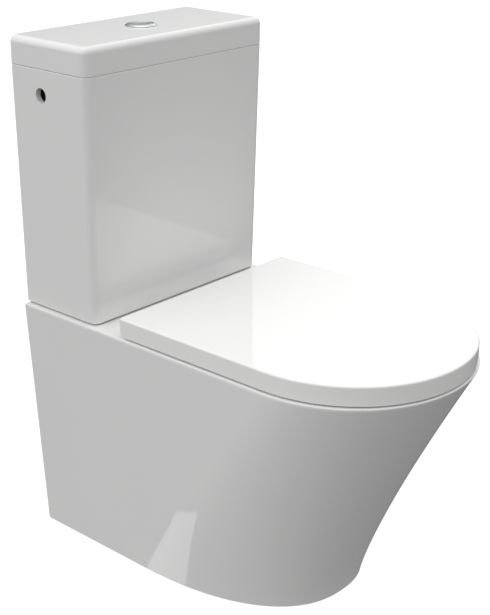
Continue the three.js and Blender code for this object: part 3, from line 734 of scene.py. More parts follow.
class TOILET_OT_cistern(bpy.types.Operator):
    """Casts the tank and its lid"""

    bl_idname = "toilet.cistern"
    bl_label = "Cistern"

    def execute(self, context):
        self.tank(context.scene.toilet_sizes)
        self.lid(context.scene.toilet_sizes)
        return {"FINISHED"}

    def tank(self, sizes):
        bottom, top = low("cistern_tank").z, high("cistern_tank").z
        wall, corner, foot, lip = sizes.tank_wall, sizes.tank_corner, 0.004, 0.0012

        def ring(z, inset=0.0, back=0.0):
            return raised(box_outline(*tank_section(z), inset, back, corner), z)

        outer = [ring(bottom + drop, inset) for inset, drop in reversed(fillet(foot, 8))]
        outer += [ring(bottom + foot + (top - lip - bottom - foot) * i / 4) for i in range(1, 4)]
        outer += [ring(top - drop, inset) for inset, drop in fillet(lip, 3)]
        tank = lofted("cistern_tank_casting", outer)
        floor = bottom + 0.010
        inner = [ring(floor + drop, wall + inset, wall) for inset, drop in reversed(fillet(0.006))]
        inner += [ring(top - lip, wall, wall), ring(top + 0.002, wall - lip, wall - lip)]
        y = centre("flush_valve_tower").y
        drills = [
            rod("valve_hole", (0, y, bottom - 0.01), (0, y, floor + 0.01), 0.030),
            rod("supply_hole", (centre("fill_valve_body").x, y, bottom - 0.01),
                (centre("fill_valve_body").x, y, floor + 0.01), 0.012),
        ]
        for side, sign in SIDES:
            bolt = centre(f"coupling_bolt_{side}")
            drills.append(rod("bolt_hole", (bolt.x, y, bottom - 0.01), (bolt.x, y, floor + 0.01), 0.0055))
            near, far = (Vector((sign * x, WALL - INLET["from_wall"], INLET["z"])) for x in (0.165, 0.2))
            drills.append(rod("side_inlet", near, far, INLET["radius"]))
        cut(tank, lofted("tank_hollow", inner), *drills)
        placed(smoothed(tank), "root", "glazed_china", "cistern_tank")

    def lid(self, sizes):
        seam, top, lip = high("cistern_tank").z + GAP, high("cistern_lid").z, 0.0012
        wall, plate, edge = sizes.tank_wall, 0.010, sizes.lid_round

        def ring(z, inset=0.0, back=0.0):
            return raised(box_outline(*TANK_HEAD, inset, back, sizes.tank_corner), z)

        outer = [ring(seam + drop, inset) for inset, drop in reversed(fillet(lip, 3))]
        outer += [ring(top - drop, inset) for inset, drop in fillet(edge, 10)]
        lid = lofted("cistern_lid_casting", outer)
        inner = [ring(seam - 0.002, wall - lip, wall - lip), ring(seam + lip, wall, wall)]
        inner += [ring(top - plate - drop, wall + inset, wall) for inset, drop in fillet(0.005, 5)]
        cut(lid, lofted("lid_hollow", inner))
        ribs = []
        rib_inset, rib_half = 0.020, 0.004
        for y in (WALL - rib_inset, WALL - TANK_HEAD[1] + rib_inset):
            ribs.append(rounded_bar("rib", (-0.150, y - rib_half, seam + 0.002),
                                    (0.150, y + rib_half, top - plate + 0.002), 0.002))
        joined(lid, *ribs)
        y = centre("flush_valve_tower").y
        cut(lid, hole(0, y, 0.020, top - plate - 0.002, top, 0.0015))
        placed(smoothed(lid), "lid", "glazed_china", "cistern_lid")


# ---------------------------------------------------------------- flush buttons


class TOILET_OT_buttons(bpy.types.Operator):
    """Turns the chrome bezel and its two flush buttons"""

    bl_idname = "toilet.buttons"
    bl_label = "Flush buttons"

    def execute(self, context):
        foot, rim = low("button_housing").z, high("button_housing").z
        at = centre("button_housing")
        lid_top = rim - 0.004
        bore = 0.0176
        profile = [
            (0, foot), (0.0192, foot), (0.0192, lid_top + GAP), (0.0238, lid_top + GAP),
            (0.0240, lid_top + 0.0005), (0.0240, lid_top + 0.0007), (0.0237, lid_top + 0.0010),
            (0.0226, lid_top + 0.0017), (0.0213, lid_top + 0.0025), (0.0200, lid_top + 0.0032),
            (0.0191, lid_top + 0.0034), (0.0183, lid_top + 0.0032), (bore, lid_top + 0.0024),
            (bore, foot + 0.003), (0, foot + 0.003)]
        housing = spun("button_bezel", profile, (0, at.y, 0), 96)
        guides = []
        for kind in ("full", "half"):
            x = centre(f"{kind}_flush_rod").x
            guides.append(rod("guide", (x, at.y, foot - 0.01), (x, at.y, foot + 0.01), 0.0046))
        cut(housing, *guides)
        placed(smoothed(housing), "lid", "chrome", "button_housing")
        for kind, sign in (("full", -1), ("half", 1)):
            self.button(kind, sign, at.y)
        return {"FINISHED"}

    def button(self, kind, sign, y):
        """One part of the dished cap, with the stem that it presses on."""
        node_name = f"{kind}_flush_button"
        foot, crown = low(node_name).z, high(node_name).z
        split, gap = 0.002, 0.0004
        under = crown - 0.006
        profile = [
            (0, under), (0.0171, under), (0.0171, crown - 0.0012), (0.0168, crown - 0.0005),
            (0.0162, crown - 0.0001), (0.0154, crown), (0.0120, crown - 0.0004), (0.0080, crown - 0.0009),
            (0.0040, crown - 0.0012), (0, crown - 0.0013)]
        cap = spun(f"{kind}_flush_cap", profile, (0, y, 0), 96)
        edges = (split - gap, 0.03) if sign < 0 else (-0.03, split + gap)
        cut(cap, rounded_bar("other_half", (edges[0], y - 0.03, under - 0.01),
                             (edges[1], y + 0.03, crown + 0.01)))
        smoothed(cap, angle=40, bevel=0.00035)
        x = centre(f"{kind}_flush_rod").x
        joined(cap, rod("stem", (x, y, foot), (x, y, under + 0.001), 0.004, 0.0006))
        placed(smoothed(cap, angle=40), f"{kind}_button", "chrome", node_name)


# ---------------------------------------------------------------- seat and cover

# The cover's outline, in the order of the pan's, and where it starts; the ring follows it from the inside.
COVER = (0.1858, 0.479, 0.6668, 2.04)
COVER_BACK = 0.2085
RING_INSET = 0.0075
RING_BACK = 0.237
SEAT_HOLE = {"half": 0.112, "reach": 0.145, "y": 0.452, "power": 2.2}
HINGE_X = 0.078  # from the middle plane to each hinge post
DAMPER_RADIUS = 0.006


def hinge_line():
    """The seat's axis of turn: distance across, along and up."""
    return centre("seat_damper_left")


def across(sign, near, far):
    """Two distances from the middle plane on one side of it, in rising order."""
    return sorted((sign * near, sign * far))


class TOILET_OT_seat(bpy.types.Operator):
    """Moulds the seat ring and the cover that wraps over it"""

    bl_idname = "toilet.seat"
    bl_label = "Seat and cover"

    def execute(self, context):
        self.ring()
        self.cover(context.scene.toilet_sizes)
        return {"FINISHED"}

    def ring(self):
        """The ring's section runs from its outer foot over a gently crowned top to its inner foot.

        Each of its points is a share of the way to the seat's hole, a shift along that way and a height.
        """
        foot, crown, fall = DECK + 0.004, 0.0205, 0.0035
        outer_round, inner_round = 0.004, 0.006
        section = [(0.0, 0.0, 0.002), (0.0, 0.0, 0.010), (0.0, 0.0, crown - outer_round)]
        section += [(0.0, inset, crown - drop) for inset, drop in fillet(outer_round)[1:]]
        section += [(share, 0.0, crown - fall * share ** 2.2) for share in (0.2, 0.35, 0.5, 0.65, 0.8, 0.9)]
        section += [(1.0, -inset, crown - fall - drop) for inset, drop in reversed(fillet(inner_round))]
        section += [(1.0, 0.0, 0.003), (1.0, -0.0009, 0.0009), (1.0, -0.003, 0.0)]
        section += [(share, 0.0, 0.0) for share in (0.75, 0.5, 0.25)]
        section += [(0.0, 0.002, 0.0), (0.0, 0.0006, 0.0006)]
        outer = d_outline(*COVER, RING_BACK, RING_INSET, corner=0.006)
        middle = WALL - SEAT_HOLE["y"]
        rings = [[] for _ in section]
        for x, y in outer:
            angle = math.atan2(y - middle, x)
            ix, iy = self.on_hole(angle)
            inner = Vector((ix, middle + iy, 0))
            edge = Vector((x, y, 0))
            along = (inner - edge).normalized()
            for ring, (share, shift, height) in zip(rings, section):
                ring.append(edge.lerp(inner, share) + along * shift + Vector((0, 0, foot + height)))
        ring = lofted("seat_ring_moulding", rings, closed=True)
        y, z = hinge_line().y, hinge_line().z
        lugs, bores = [], []
        for _, sign in SIDES:
            x0, x1 = across(sign, HINGE_X - 0.038, HINGE_X - 0.012)
            lug = joined(
                rounded_bar("lug", (x0, WALL - RING_BACK - 0.008, z - 0.009), (x1, y, z + 0.008), 0.001),
                rod("knuckle", (x0, y, z), (x1, y, z), 0.009, 0.001))
            lugs.append(lug)
            b0, b1 = across(sign, HINGE_X - 0.034, HINGE_X - 0.010)
            bores.append(rod("bore", (b0, y, z), (b1, y, z), DAMPER_RADIUS + 0.0004))
        cut(joined(ring, *lugs), *bores)
        placed(smoothed(ring, angle=35), "seat", "duroplast", "seat_ring")

    def on_hole(self, angle):
        """The point of the seat's hole that lies in a direction from its middle."""
        c, s = math.cos(angle), math.sin(angle)
        power = SEAT_HOLE["power"]
        size = (abs(c / SEAT_HOLE["half"]) ** power + abs(s / SEAT_HOLE["reach"]) ** power) ** (-1 / power)
        return size * c, size * s

    def cover(self, sizes):
        foot, top = low("seat_cover").z, high("seat_cover").z
        wall, edge, lip = sizes.cover_wall, sizes.cover_round, 0.0012

        def ring(z, inset=0.0):
            return raised(d_outline(*COVER, COVER_BACK, inset, corner=0.0045, side=24, nose=120), z)

        outer = [ring(foot + drop, inset) for inset, drop in reversed(fillet(lip, 4))]
        outer += [ring(foot + 0.012), ring(foot + 0.020)]
        outer += [ring(top - drop, inset) for inset, drop in fillet(edge, 8)]
        cover = lofted("seat_cover_moulding", outer)
        ceiling = top - wall
        y, z = hinge_line().y, hinge_line().z
        bar_front = WALL - y + 0.010

        def inner_ring(level, inset):
            return raised(d_outline(*COVER, bar_front - inset, inset, corner=0.004), level)

        inner = [inner_ring(foot - 0.003, wall - 0.0004), inner_ring(foot + 0.001, wall)]
        inner += [inner_ring(ceiling - drop, wall + inset) for inset, drop in fillet(0.004, 5)]
        tools = [lofted("cover_hollow", inner)]
        rear_roll, front_roll = 0.013, 0.008
        rear = cut(
            rounded_bar("rear_corner", (-0.2, WALL - COVER_BACK - rear_roll, foot - 0.001),
                        (0.2, WALL - COVER_BACK + 0.001, foot + rear_roll)),
            rod("rear_roll", (-0.201, WALL - COVER_BACK - rear_roll, foot + rear_roll),
                (0.201, WALL - COVER_BACK - rear_roll, foot + rear_roll), rear_roll, segments=96))
        front_y = WALL - bar_front
        front = cut(
            rounded_bar("front_corner", (-0.181, front_y - 0.001, foot - 0.001),
                        (0.181, front_y + front_roll, foot + front_roll)),
            rod("front_roll", (-0.182, front_y + front_roll, foot + front_roll),
                (0.182, front_y + front_roll, foot + front_roll), front_roll, segments=64))
        tools += [rear, front]
        for _, sign in SIDES:
            x0, x1 = across(sign, HINGE_X - 0.039, HINGE_X + 0.011)
            tools.append(rounded_bar(
                "notch", (x0, front_y - 0.001, foot - 0.001), (x1, WALL - COVER_BACK + 0.001, ceiling)))
            b0, b1 = across(sign, HINGE_X + 0.010, HINGE_X + 0.037)
            tools.append(rod("bore", (b0, y, z), (b1, y, z), DAMPER_RADIUS + 0.0004))
        cut(cover, *tools)
        placed(smoothed(cover), "cover", "duroplast", "seat_cover")


class TOILET_OT_hinges(bpy.types.Operator):
    """Makes the chrome hinge posts"""

    bl_idname = "toilet.hinges"
    bl_label = "Hinges"

    def execute(self, context):
        y, z = hinge_line().y, hinge_line().z
        for side, _ in SIDES:
            name = f"hinge_post_{side}"
            x, foot = centre(name).x, low(name).z
            post = spun("hinge_flange_" + side, [
                (0, foot), (0.0188, foot), (0.019, foot + 0.0003), (0.019, foot + 0.0009),
                (0.0185, foot + 0.0014),
                (0.0176, foot + 0.0016), (0, foot + 0.0016)], (x, y, 0))
            joined(
                post,
                rounded_bar("pillar", (x - 0.010, y - 0.008, foot + 0.001), (x + 0.010, y + 0.008, z),
                            0.0008),
                rod("head", (x - 0.010, y, z), (x + 0.010, y, z), 0.008, 0.0008))
            cut(post, rod("pin_hole", (x - 0.02, y, z), (x + 0.02, y, z), 0.0038))
            placed(smoothed(post), "root", "chrome", name)
        return {"FINISHED"}


# ---------------------------------------------------------------- fixings


def washer(node_name, slot, outer, inner, soft, body="root"):
    """A plain turned ring between the ends of a node."""
    foot, top = low(node_name).z, high(node_name).z
    profile = [(inner, foot), (outer, foot), (outer, top), (inner, top)]
    placed(smoothed(turned(node_name + "_ring", profile, centre(node_name), soft)), body, slot, node_name)


def pin(node_name, radius, head, reach):
    """A steel pin along Y with a flat head at each end."""
    at = centre(node_name)
    tip = Vector((0, reach, 0))
    rim = Vector((0, reach - 0.001, 0))
    shank = rod("pin_shank", at - tip, at + tip, radius, segments=24)
    heads = [rod("pin_head", at + sign * rim, at + sign * tip, head, 0.0003, 24) for sign in (-1, 1)]
    placed(smoothed(joined(shank, *heads)), "root", "zinc_steel", node_name)


class TOILET_OT_fixings(bpy.types.Operator):
    """Makes the coupling bolts, the hinge studs, the dampers and the buffers"""

    bl_idname = "toilet.fixings"
    bl_label = "Fixings"

    def execute(self, context):
        for side, sign in SIDES:
            self.coupling(side)
            self.hinge_fixing(side)
            self.damper(f"seat_damper_{side}", "seat", -sign)
            self.damper(f"cover_damper_{side}", "cover", sign)
            for place in ("rear", "front"):
                washer(f"seat_buffer_{place}_{side}", "clear_rubber", 0.009, 0.002, 0.0011, "seat")
            washer(f"cover_buffer_{side}", "clear_rubber", 0.006, 0.0015, 0.0003, "cover")
        washer("doughnut_washer", "black_rubber", 0.045, 0.0292, 0.0035)
        return {"FINISHED"}

    def coupling(self, side):
        """A slotted bolt, its cone washer in the tank and its wing nut under the deck."""
        bolt, cone, nut = (f"coupling_{kind}_{side}" for kind in ("bolt", "washer", "wing_nut"))
        at, foot, top = centre(bolt), low(bolt).z, high(bolt).z
        under = top - 0.0057
        dome = [(0.011 * math.cos(a), top - 0.0035 + 0.0035 * math.sin(a)) for a in
                (math.pi / 16 * i for i in range(8))]
        profile = [(0, foot), (0.0030, foot), *ridged(0.004, 0.0006, foot + 0.001, foot + 0.036, 0.00125)]
        profile += [(0.004, foot + 0.037), (0.004, under), (0.011, under), *dome, (0, top)]
        shape = turned("coupling_bolt_turning", profile, at, 0.0002)
        slot = rounded_bar("slot", (at.x - 0.012, at.y - 0.001, top - 0.002),
                           (at.x + 0.012, at.y + 0.001, top + 0.001))
        placed(smoothed(cut(shape, slot)), "root", "zinc_steel", bolt)

        foot, top = low(cone).z, high(cone).z
        profile = [(0.0046, foot), (0.012, foot), (0.012, foot + 0.0012), (0.009, top), (0.0046, top)]
        placed(smoothed(turned("coupling_cone", profile, at, 0.0007)), "root", "black_rubber", cone)

        foot, top = low(nut).z, high(nut).z
        hub = turned("coupling_hub", [(0, foot + 0.006), (0.0085, foot + 0.006), (0.009, top), (0, top)], at)
        wings = []
        for sign in (-1, 1):
            x0, x1 = sorted((at.x + sign * 0.005, at.x + sign * 0.015))
            wings.append(rounded_bar("wing", (x0, at.y - 0.0017, foot), (x1, at.y + 0.0017, top - 0.003),
                                     0.0012))
            x = at.x + sign * 0.0132
            wings.append(rod("wing_rim", (x, at.y, foot + 0.001), (x, at.y, top - 0.004), 0.0018, 0.0005,
                             16))
        bore = rod("bore", (at.x, at.y, foot), (at.x, at.y, top + 0.001), 0.0045)
        placed(smoothed(cut(joined(hub, *wings), bore)), "root", "white_plastic", nut)

    def hinge_fixing(self, side):
        """The stud of a hinge post, the rubber sleeve that it spreads and the cone nut that draws it up."""
        stud, sleeve, nut = (f"hinge_{kind}_{side}" for kind in ("stud", "sleeve", "cone_nut"))
        at, foot, top = centre(stud), low(stud).z, high(stud).z
        profile = [(0, foot), (0.0022, foot), *ridged(0.003, 0.0005, foot + 0.0006, top - 0.002, 0.001),
                   (0.003, top),
                   (0, top)]
        placed(smoothed(turned("hinge_stud_turning", profile, at, 0.0002, 32)), "root", "zinc_steel", stud)

        foot, top = low(sleeve).z, high(sleeve).z
        ribs = ridged(0.0066, 0.0006, foot + 0.002, top - 0.006, 0.003)
        profile = [(0.0034, foot), (0.0058, foot), *ribs, (0.0066, top - 0.003), (0.0066, top),
                   (0.0034, top)]
        placed(smoothed(turned("hinge_sleeve_moulding", profile, at, 0.0004, 32)), "root", "black_rubber",
               sleeve)

        foot, top = low(nut).z, high(nut).z
        profile = [(0.0034, foot), (0.0078, foot), (0.0078, foot + 0.0042), (0.006, top), (0.0034, top)]
        grips = ring_of(
            lambda: rod("grip", (at.x + 0.0076, at.y, foot), (at.x + 0.0076, at.y, foot + 0.004), 0.0014,
                        0.0004, 16),
            8, at)
        placed(smoothed(joined(turned("hinge_cone", profile, at), *grips)), "root", "white_plastic", nut)

    def damper(self, node_name, body, sign):
        """A sealed oil damper: a grooved barrel in its bore and a pin into the hinge post."""
        near, far = low(node_name), high(node_name)
        y, z = hinge_line().y, hinge_line().z
        start, end = (near.x, far.x) if sign > 0 else (far.x, near.x)
        barrel = end - sign * (0.020 if body == "seat" else 0.022)
        piece = rod("damper_pin", (start, y, z), (barrel + sign * 0.002, y, z), 0.0033, 0.0004, 32)
        sleeve = rod("damper_barrel", (barrel, y, z), (end, y, z), DAMPER_RADIUS, 0.0006)
        grooves = []
        for reach in (0.006, 0.0085):
            x = end - sign * reach
            band = rod("band", (x - 0.0005, y, z), (x + 0.0005, y, z), DAMPER_RADIUS + 0.001)
            grooves.append(cut(band,
                               rod("core", (x - 0.001, y, z), (x + 0.001, y, z), DAMPER_RADIUS - 0.0006)))
        slot = rounded_bar("slot", (end - 0.001, y - 0.0008, z - 0.004),
                           (end + 0.001, y + 0.0008, z + 0.004))
        cut(sleeve, *grooves, slot)
        placed(smoothed(joined(piece, sleeve)), body, "grey_plastic", node_name)


# ---------------------------------------------------------------- flush valve


def windows(name, half, foot, top, at, count=4, start=0.0):
    """Cutters for windows through a round wall, with round corners."""
    return ring_of(
        lambda: rounded_bar(name, (at.x, at.y - half, foot), (at.x + 0.06, at.y + half, top), 0.002),
        count, at, start)


def cheek(x, y, half, foot, pivot):
    """An upright lug with a round head about a pivot."""
    return joined(
        rounded_bar("cheek", (x - 0.005, y - half, foot), (x + 0.005, y + half, pivot), 0.0004),
        rod("cheek_head", (x, y - half, pivot), (x, y + half, pivot), 0.005, 0.0004))


class TOILET_OT_flush_valve(bpy.types.Operator):
    """Builds the flush valve, its levers and the gear under the buttons"""

    bl_idname = "toilet.flush_valve"
    bl_label = "Flush valve"

    def execute(self, context):
        self.at = centre("overflow_tube")
        self.pivot = centre("lever_pin_left").z
        self.base()
        self.tower()
        self.spindle()
        self.yoke()
        for side, sign, kind in (("left", -1, "full"), ("right", 1, "half")):
            self.lever(kind, sign)
            pin(f"lever_pin_{side}", 0.0019, 0.003, 0.010)
            self.push_gear(kind)
        self.button_nut()
        return {"FINISHED"}

    def base(self):
        name, at = "flush_valve_base", self.at
        foot, cage = low(name).z, high(name).z
        flange = cage - 0.0434
        seat = flange + 0.0084
        profile = [(0.024, foot), (0.0277, foot),
                   *ridged(0.0285, 0.0008, foot + 0.001, flange - 0.003, 0.0023)]
        profile += [
            (0.0285, flange), (0.043, flange), (0.043, flange + 0.0044), (0.042, flange + 0.0044),
            (0.042, cage),
            (0.038, cage), (0.038, flange + 0.0044), (0.030, flange + 0.0044), (0.030, seat - 0.0008),
            (0.0285, seat), (0.024, seat)]
        shape = turned("flush_valve_body", profile, at, 0.0004, 96)
        cut(shape, *windows("window", 0.014, seat + 0.0005, cage - 0.007, at))
        placed(smoothed(shape), "root", "white_plastic", name)
        washer("flush_valve_gasket", "clear_rubber", 0.042, 0.0292, 0.0008)

        name = "flush_valve_back_nut"
        foot, top = low(name).z, high(name).z
        ring = turned("back_nut_ring", [
            (0.0292, foot), (0.036, foot), (0.036, top - 0.003), (0.0385, top - 0.003), (0.0385, top),
            (0.0292, top)], at)
        lugs = ring_of(
            lambda: rounded_bar("lug", (at.x + 0.034, at.y - 0.003, foot),
                                (at.x + 0.0395, at.y + 0.003, top), 0.0008),
            10, at)
        placed(smoothed(joined(ring, *lugs)), "root", "white_plastic", name)

    def tower(self):
        name, at = "flush_valve_tower", self.at
        foot, head = low(name).z, low("lifting_yoke").z - 0.003
        profile = [
            (0.037, foot), (0.040, foot), (0.040, foot + 0.010), (0.0393, foot + 0.011),
            (0.0393, head - 0.011),
            (0.040, head - 0.010), (0.040, head), (0.0134, head), (0.0134, head - 0.004),
            (0.037, head - 0.004)]
        shape = turned("tower_moulding", profile, at, 0.0006, 96)
        rows = 4
        pitch = (head - foot - 0.034) / rows
        holes = []
        for i in range(rows):
            start = foot + 0.020 + i * pitch
            holes += windows("window", 0.016, start, start + pitch - 0.006, at)
        cut(shape, *holes)
        lugs = [
            cheek(sign * 0.024, at.y + face * 0.007, 0.002, head - 0.001, self.pivot)
            for sign in (-1, 1) for face in (-1, 1)]
        for sign in (-1, 1):
            lugs.append(rounded_bar(
                "brace", (sign * 0.024 - 0.0045, at.y - 0.0065, head - 0.001),
                (sign * 0.024 + 0.0045, at.y + 0.0065, head + 0.006), 0.0006))
        joined(shape, *lugs)
        bores = [rod("bore", (sign * 0.024, at.y - 0.012, self.pivot),
                     (sign * 0.024, at.y + 0.012, self.pivot), 0.0023)
                 for sign in (-1, 1)]
        placed(smoothed(cut(shape, *bores)), "root", "white_plastic", name)

    def spindle(self):
        """The overflow tube carries the seal, the float and the yoke, and lifts to flush."""
        name, at = "overflow_tube", self.at
        foot, top = low(name).z, high(name).z
        plate = foot + 0.0056
        profile = [
            (0.0105, foot), (0.0128, foot), (0.0128, plate), (0.030, plate), (0.030, plate + 0.004),
            (0.0125, plate + 0.004), (0.0125, top - 0.001), (0.0118, top), (0.0105, top)]
        shape = turned("overflow_tube_moulding", profile, at, 0.0004, 64)
        ribs = ring_of(
            lambda: rounded_bar(
                "rib", (at.x + 0.0115, at.y - 0.001, plate + 0.001),
                (at.x + 0.027, at.y + 0.001, plate + 0.010), 0.0006),
            6, at, 30)
        placed(smoothed(joined(shape, *ribs)), "valve_spindle", "white_plastic", name)
        washer("flush_seal", "clear_rubber", 0.031, 0.0132, 0.0008, "valve_spindle")

        name = "flush_float"
        foot, top = low(name).z, high(name).z
        profile = [
            (0.013, foot), (0.015, foot), (0.015, top - 0.004), (0.031, top - 0.004), (0.031, foot),
            (0.033, foot),
            (0.033, top), (0.013, top)]
        placed(smoothed(turned("flush_float_cup", profile, at, 0.0008, 64)), "valve_spindle",
               "blue_plastic", name)

    def yoke(self):
        """A hub on the overflow tube with two arms that reach over the levers' outer ends."""
        name, at = "lifting_yoke", self.at
        foot = low(name).z
        bar = foot + 0.009
        hub = turned("yoke_hub", [(0, foot), (0.017, foot), (0.017, bar + 0.004), (0, bar + 0.004)], at,
                     0.0008, 64)
        parts = [rounded_bar("bar", (-0.046, at.y - 0.004, bar), (0.046, at.y + 0.004, bar + 0.004), 0.0008)]
        lips = {-1: self.pivot + 0.0032, 1: high(name).z - 0.004}
        for sign, lip in lips.items():
            x0, x1 = across(sign, 0.043, 0.046)
            parts.append(rounded_bar("arm", (x0, at.y - 0.004, bar), (x1, at.y + 0.004, lip + 0.004),
                                     0.0008))
            x0, x1 = across(sign, 0.033, 0.046)
            parts.append(rounded_bar("lip", (x0, at.y - 0.004, lip), (x1, at.y + 0.004, lip + 0.004),
                                     0.0008))
            x0, x1 = across(sign, 0.014, 0.040)
            parts.append(rounded_bar("web", (x0, at.y - 0.001, bar - 0.004),
                                     (x1, at.y + 0.001, bar + 0.001), 0.0004))
        bore = rod("bore", (at.x, at.y, foot - 0.001), (at.x, at.y, bar + 0.006), 0.0128, segments=64)
        placed(smoothed(cut(joined(hub, *parts), bore)), "valve_spindle", "blue_plastic", name)

    def lever(self, kind, sign):
        """A rocking lever: the rod presses its inner end and its outer end lifts the yoke."""
        at, z = self.at, self.pivot
        x0, x1 = across(sign, 0.006, 0.042)
        bar = rounded_bar("lever_bar", (x0, at.y - 0.004, z - 0.0025), (x1, at.y + 0.004, z + 0.0025),
                          0.0008)
        x = sign * 0.024
        knuckle = rod("knuckle", (x, at.y - 0.004, z), (x, at.y + 0.004, z), 0.004, 0.0004)
        tools = [rod("bore", (x, at.y - 0.006, z), (x, at.y + 0.006, z), 0.0024, segments=32)]
        for near, far in ((0.0095, 0.0185), (0.0295, 0.0385)):
            for face in (-1, 1):
                a, b = across(sign, near, far)
                y0, y1 = sorted((at.y + face * 0.0028, at.y + face * 0.0050))
                tools.append(rounded_bar("recess", (a, y0, z - 0.0014), (b, y1, z + 0.0014), 0.0005))
        placed(smoothed(cut(joined(bar, knuckle), *tools)), f"{kind}_lever", "blue_plastic",
               f"{kind}_flush_lever")

    def push_gear(self, kind):
        """The threaded rod under a button and the spring that returns it."""
        name = f"{kind}_flush_rod"
        at, foot, top = centre(name), low(name).z, high(name).z
        profile = [(0, foot), (0.0014, foot), (0.002, foot + 0.0008), (0.002, foot + 0.012)]
        profile += [*ridged(0.002, 0.0003, foot + 0.0125, top - 0.001, 0.001), (0.0017, top), (0, top)]
        placed(smoothed(turned(name + "_moulding", profile, at, 0.0001, 24)), f"{kind}_button",
               "grey_plastic", name)

        name = f"{kind}_flush_spring"
        foot, top = low(name).z, high(name).z
        spring = smoothed(coil(name + "_wire", at, 0.0056, 0.0005, foot, top, 5))
        placed(spring, "lid", "zinc_steel", name)
        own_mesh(spring)

    def button_nut(self):
        """The ribbed nut that holds the button housing under the lid."""
        name = "button_nut"
        at, foot, top = centre(name), low(name).z, high(name).z
        ring = turned("button_nut_ring", [
            (0.0196, foot), (0.0245, foot), (0.0245, top - 0.002), (0.0265, top - 0.002), (0.0265, top),
            (0.0196, top)], at)
        ribs = ring_of(
            lambda: rounded_bar(
                "rib", (at.x + 0.023, at.y - 0.0012, foot), (at.x + 0.0262, at.y + 0.0012, top), 0.0005),
            16, at)
        placed(smoothed(joined(ring, *ribs)), "lid", "white_plastic", name)


# ---------------------------------------------------------------- fill valve


class TOILET_OT_fill_valve(bpy.types.Operator):
    """Builds the bottom-entry fill valve with its float and arm"""

    bl_idname = "toilet.fill_valve"
    bl_label = "Fill valve"

    def execute(self, context):
        self.at = centre("fill_valve_body")
        self.body()
        self.cap()
        self.float()
        pin("fill_arm_pin", 0.0014, 0.0024, 0.009)
        return {"FINISHED"}

    def body(self):
        name, at = "fill_valve_body", self.at
        foot, top = low(name).z, high(name).z
        flange, head = high("fill_valve_washer").z + GAP, top - 0.024
        profile = [(0.0055, foot), (0.0096, foot),
                   *ridged(0.0104, 0.0008, foot + 0.0006, flange - 0.004, 0.0018)]
        profile += [
            (0.0104, flange), (0.017, flange), (0.017, flange + 0.004), (0.010, flange + 0.004),
            (0.010, head),
            (0.019, head), (0.019, head + 0.005), (0.0175, head + 0.006), (0.0175, head + 0.016),
            (0.019, head + 0.017), (0.019, top), (0, top), (0, head + 0.014), (0.0055, head + 0.014)]
        shape = spun("fill_valve_moulding", profile, (at.x, at.y, 0), 64)
        fins = ring_of(
            lambda: rounded_bar(
                "fin", (at.x + 0.008, at.y - 0.0008, flange + 0.002),
                (at.x + 0.0135, at.y + 0.0008, flange + 0.095),
                0.0005),
            4, at, 45)
        placed(smoothed(joined(shape, *fins), bevel=0.0002), "root", "white_plastic", name)
        washer("fill_valve_washer", "black_rubber", 0.017, 0.0108, 0.0008)

        name = "fill_valve_back_nut"
        foot, top = low(name).z, high(name).z
        profile = [(0, foot), (0.0165, foot), (0.018, foot + 0.001), (0.018, top - 0.0005), (0.0175, top),
                   (0, top)]
        nut = spun("back_nut_hexagon", profile, (at.x, at.y, 0), 6)
        bore = rod("bore", (at.x, at.y, foot - 0.001), (at.x, at.y, top + 0.001), 0.0108)
        placed(smoothed(cut(nut, bore), bevel=0.0003), "root", "white_plastic", name)

    def cap(self):
        name, at = "fill_valve_cap", self.at
        pivot = centre("fill_arm_pin")
        foot = low(name).z
        top = foot + 0.0037
        disc = turned("cap_disc", [(0, foot), (0.0193, foot), (0.0193, top - 0.0006), (0.0185, top),
                                   (0, top)], at, 0.0003)
        grips = ring_of(
            lambda: rod("grip", (at.x + 0.0187, at.y, foot), (at.x + 0.0187, at.y, top - 0.0005), 0.0012,
                        0.0003, 12),
            18, at)
        lugs = [cheek(pivot.x, at.y + face * 0.0065, 0.0015, top - 0.001, pivot.z) for face in (-1, 1)]
        shape = joined(disc, *grips, *lugs)
        bore = rod("bore", (pivot.x, at.y - 0.01, pivot.z), (pivot.x, at.y + 0.01, pivot.z), 0.0018,
                   segments=24)
        placed(smoothed(cut(shape, bore)), "root", "white_plastic", name)

    def float(self):
        """A cup float on the valve's pipe, its rod, and the arm that shuts the valve."""
        name, at = "fill_float", self.at
        foot, top = low(name).z, high(name).z
        profile = [
            (0.011, foot), (0.013, foot), (0.013, top - 0.004), (0.029, top - 0.004), (0.029, foot),
            (0.031, foot),
            (0.031, top), (0.011, top)]
        placed(smoothed(turned("fill_float_cup", profile, at, 0.0008, 64)), "fill_float", "grey_plastic",
               name)

        name = "fill_float_rod"
        spot, foot, top = centre(name), low(name).z, high(name).z
        profile = [(0, foot), (0.0015, foot), *ridged(0.0018, 0.0003, foot + 0.0005, top - 0.0005, 0.001),
                   (0, top)]
        placed(smoothed(turned("float_rod_moulding", profile, spot, 0.0001, 24)), "fill_float",
               "grey_plastic", name)

        name = "fill_arm"
        near, far, pivot = low(name), high(name), centre("fill_arm_pin")
        bar = rounded_bar("arm_bar", (near.x, at.y - 0.004, near.z), (pivot.x, at.y + 0.004, far.z), 0.0008)
        knuckle = rod("knuckle", (pivot.x, at.y - 0.004, pivot.z), (pivot.x, at.y + 0.004, pivot.z), 0.0028,
                      0.0003)
        tools = [rod("bore", (pivot.x, at.y - 0.006, pivot.z), (pivot.x, at.y + 0.006, pivot.z), 0.0018,
                     segments=24)]
        for face in (-1, 1):
            y0, y1 = sorted((at.y + face * 0.0028, at.y + face * 0.005))
            tools.append(rounded_bar("recess", (near.x + 0.006, y0, near.z + 0.0012),
                                     (pivot.x - 0.006, y1, far.z - 0.0012), 0.0005))
        placed(smoothed(cut(joined(bar, knuckle), *tools)), "fill_arm", "grey_plastic", name)


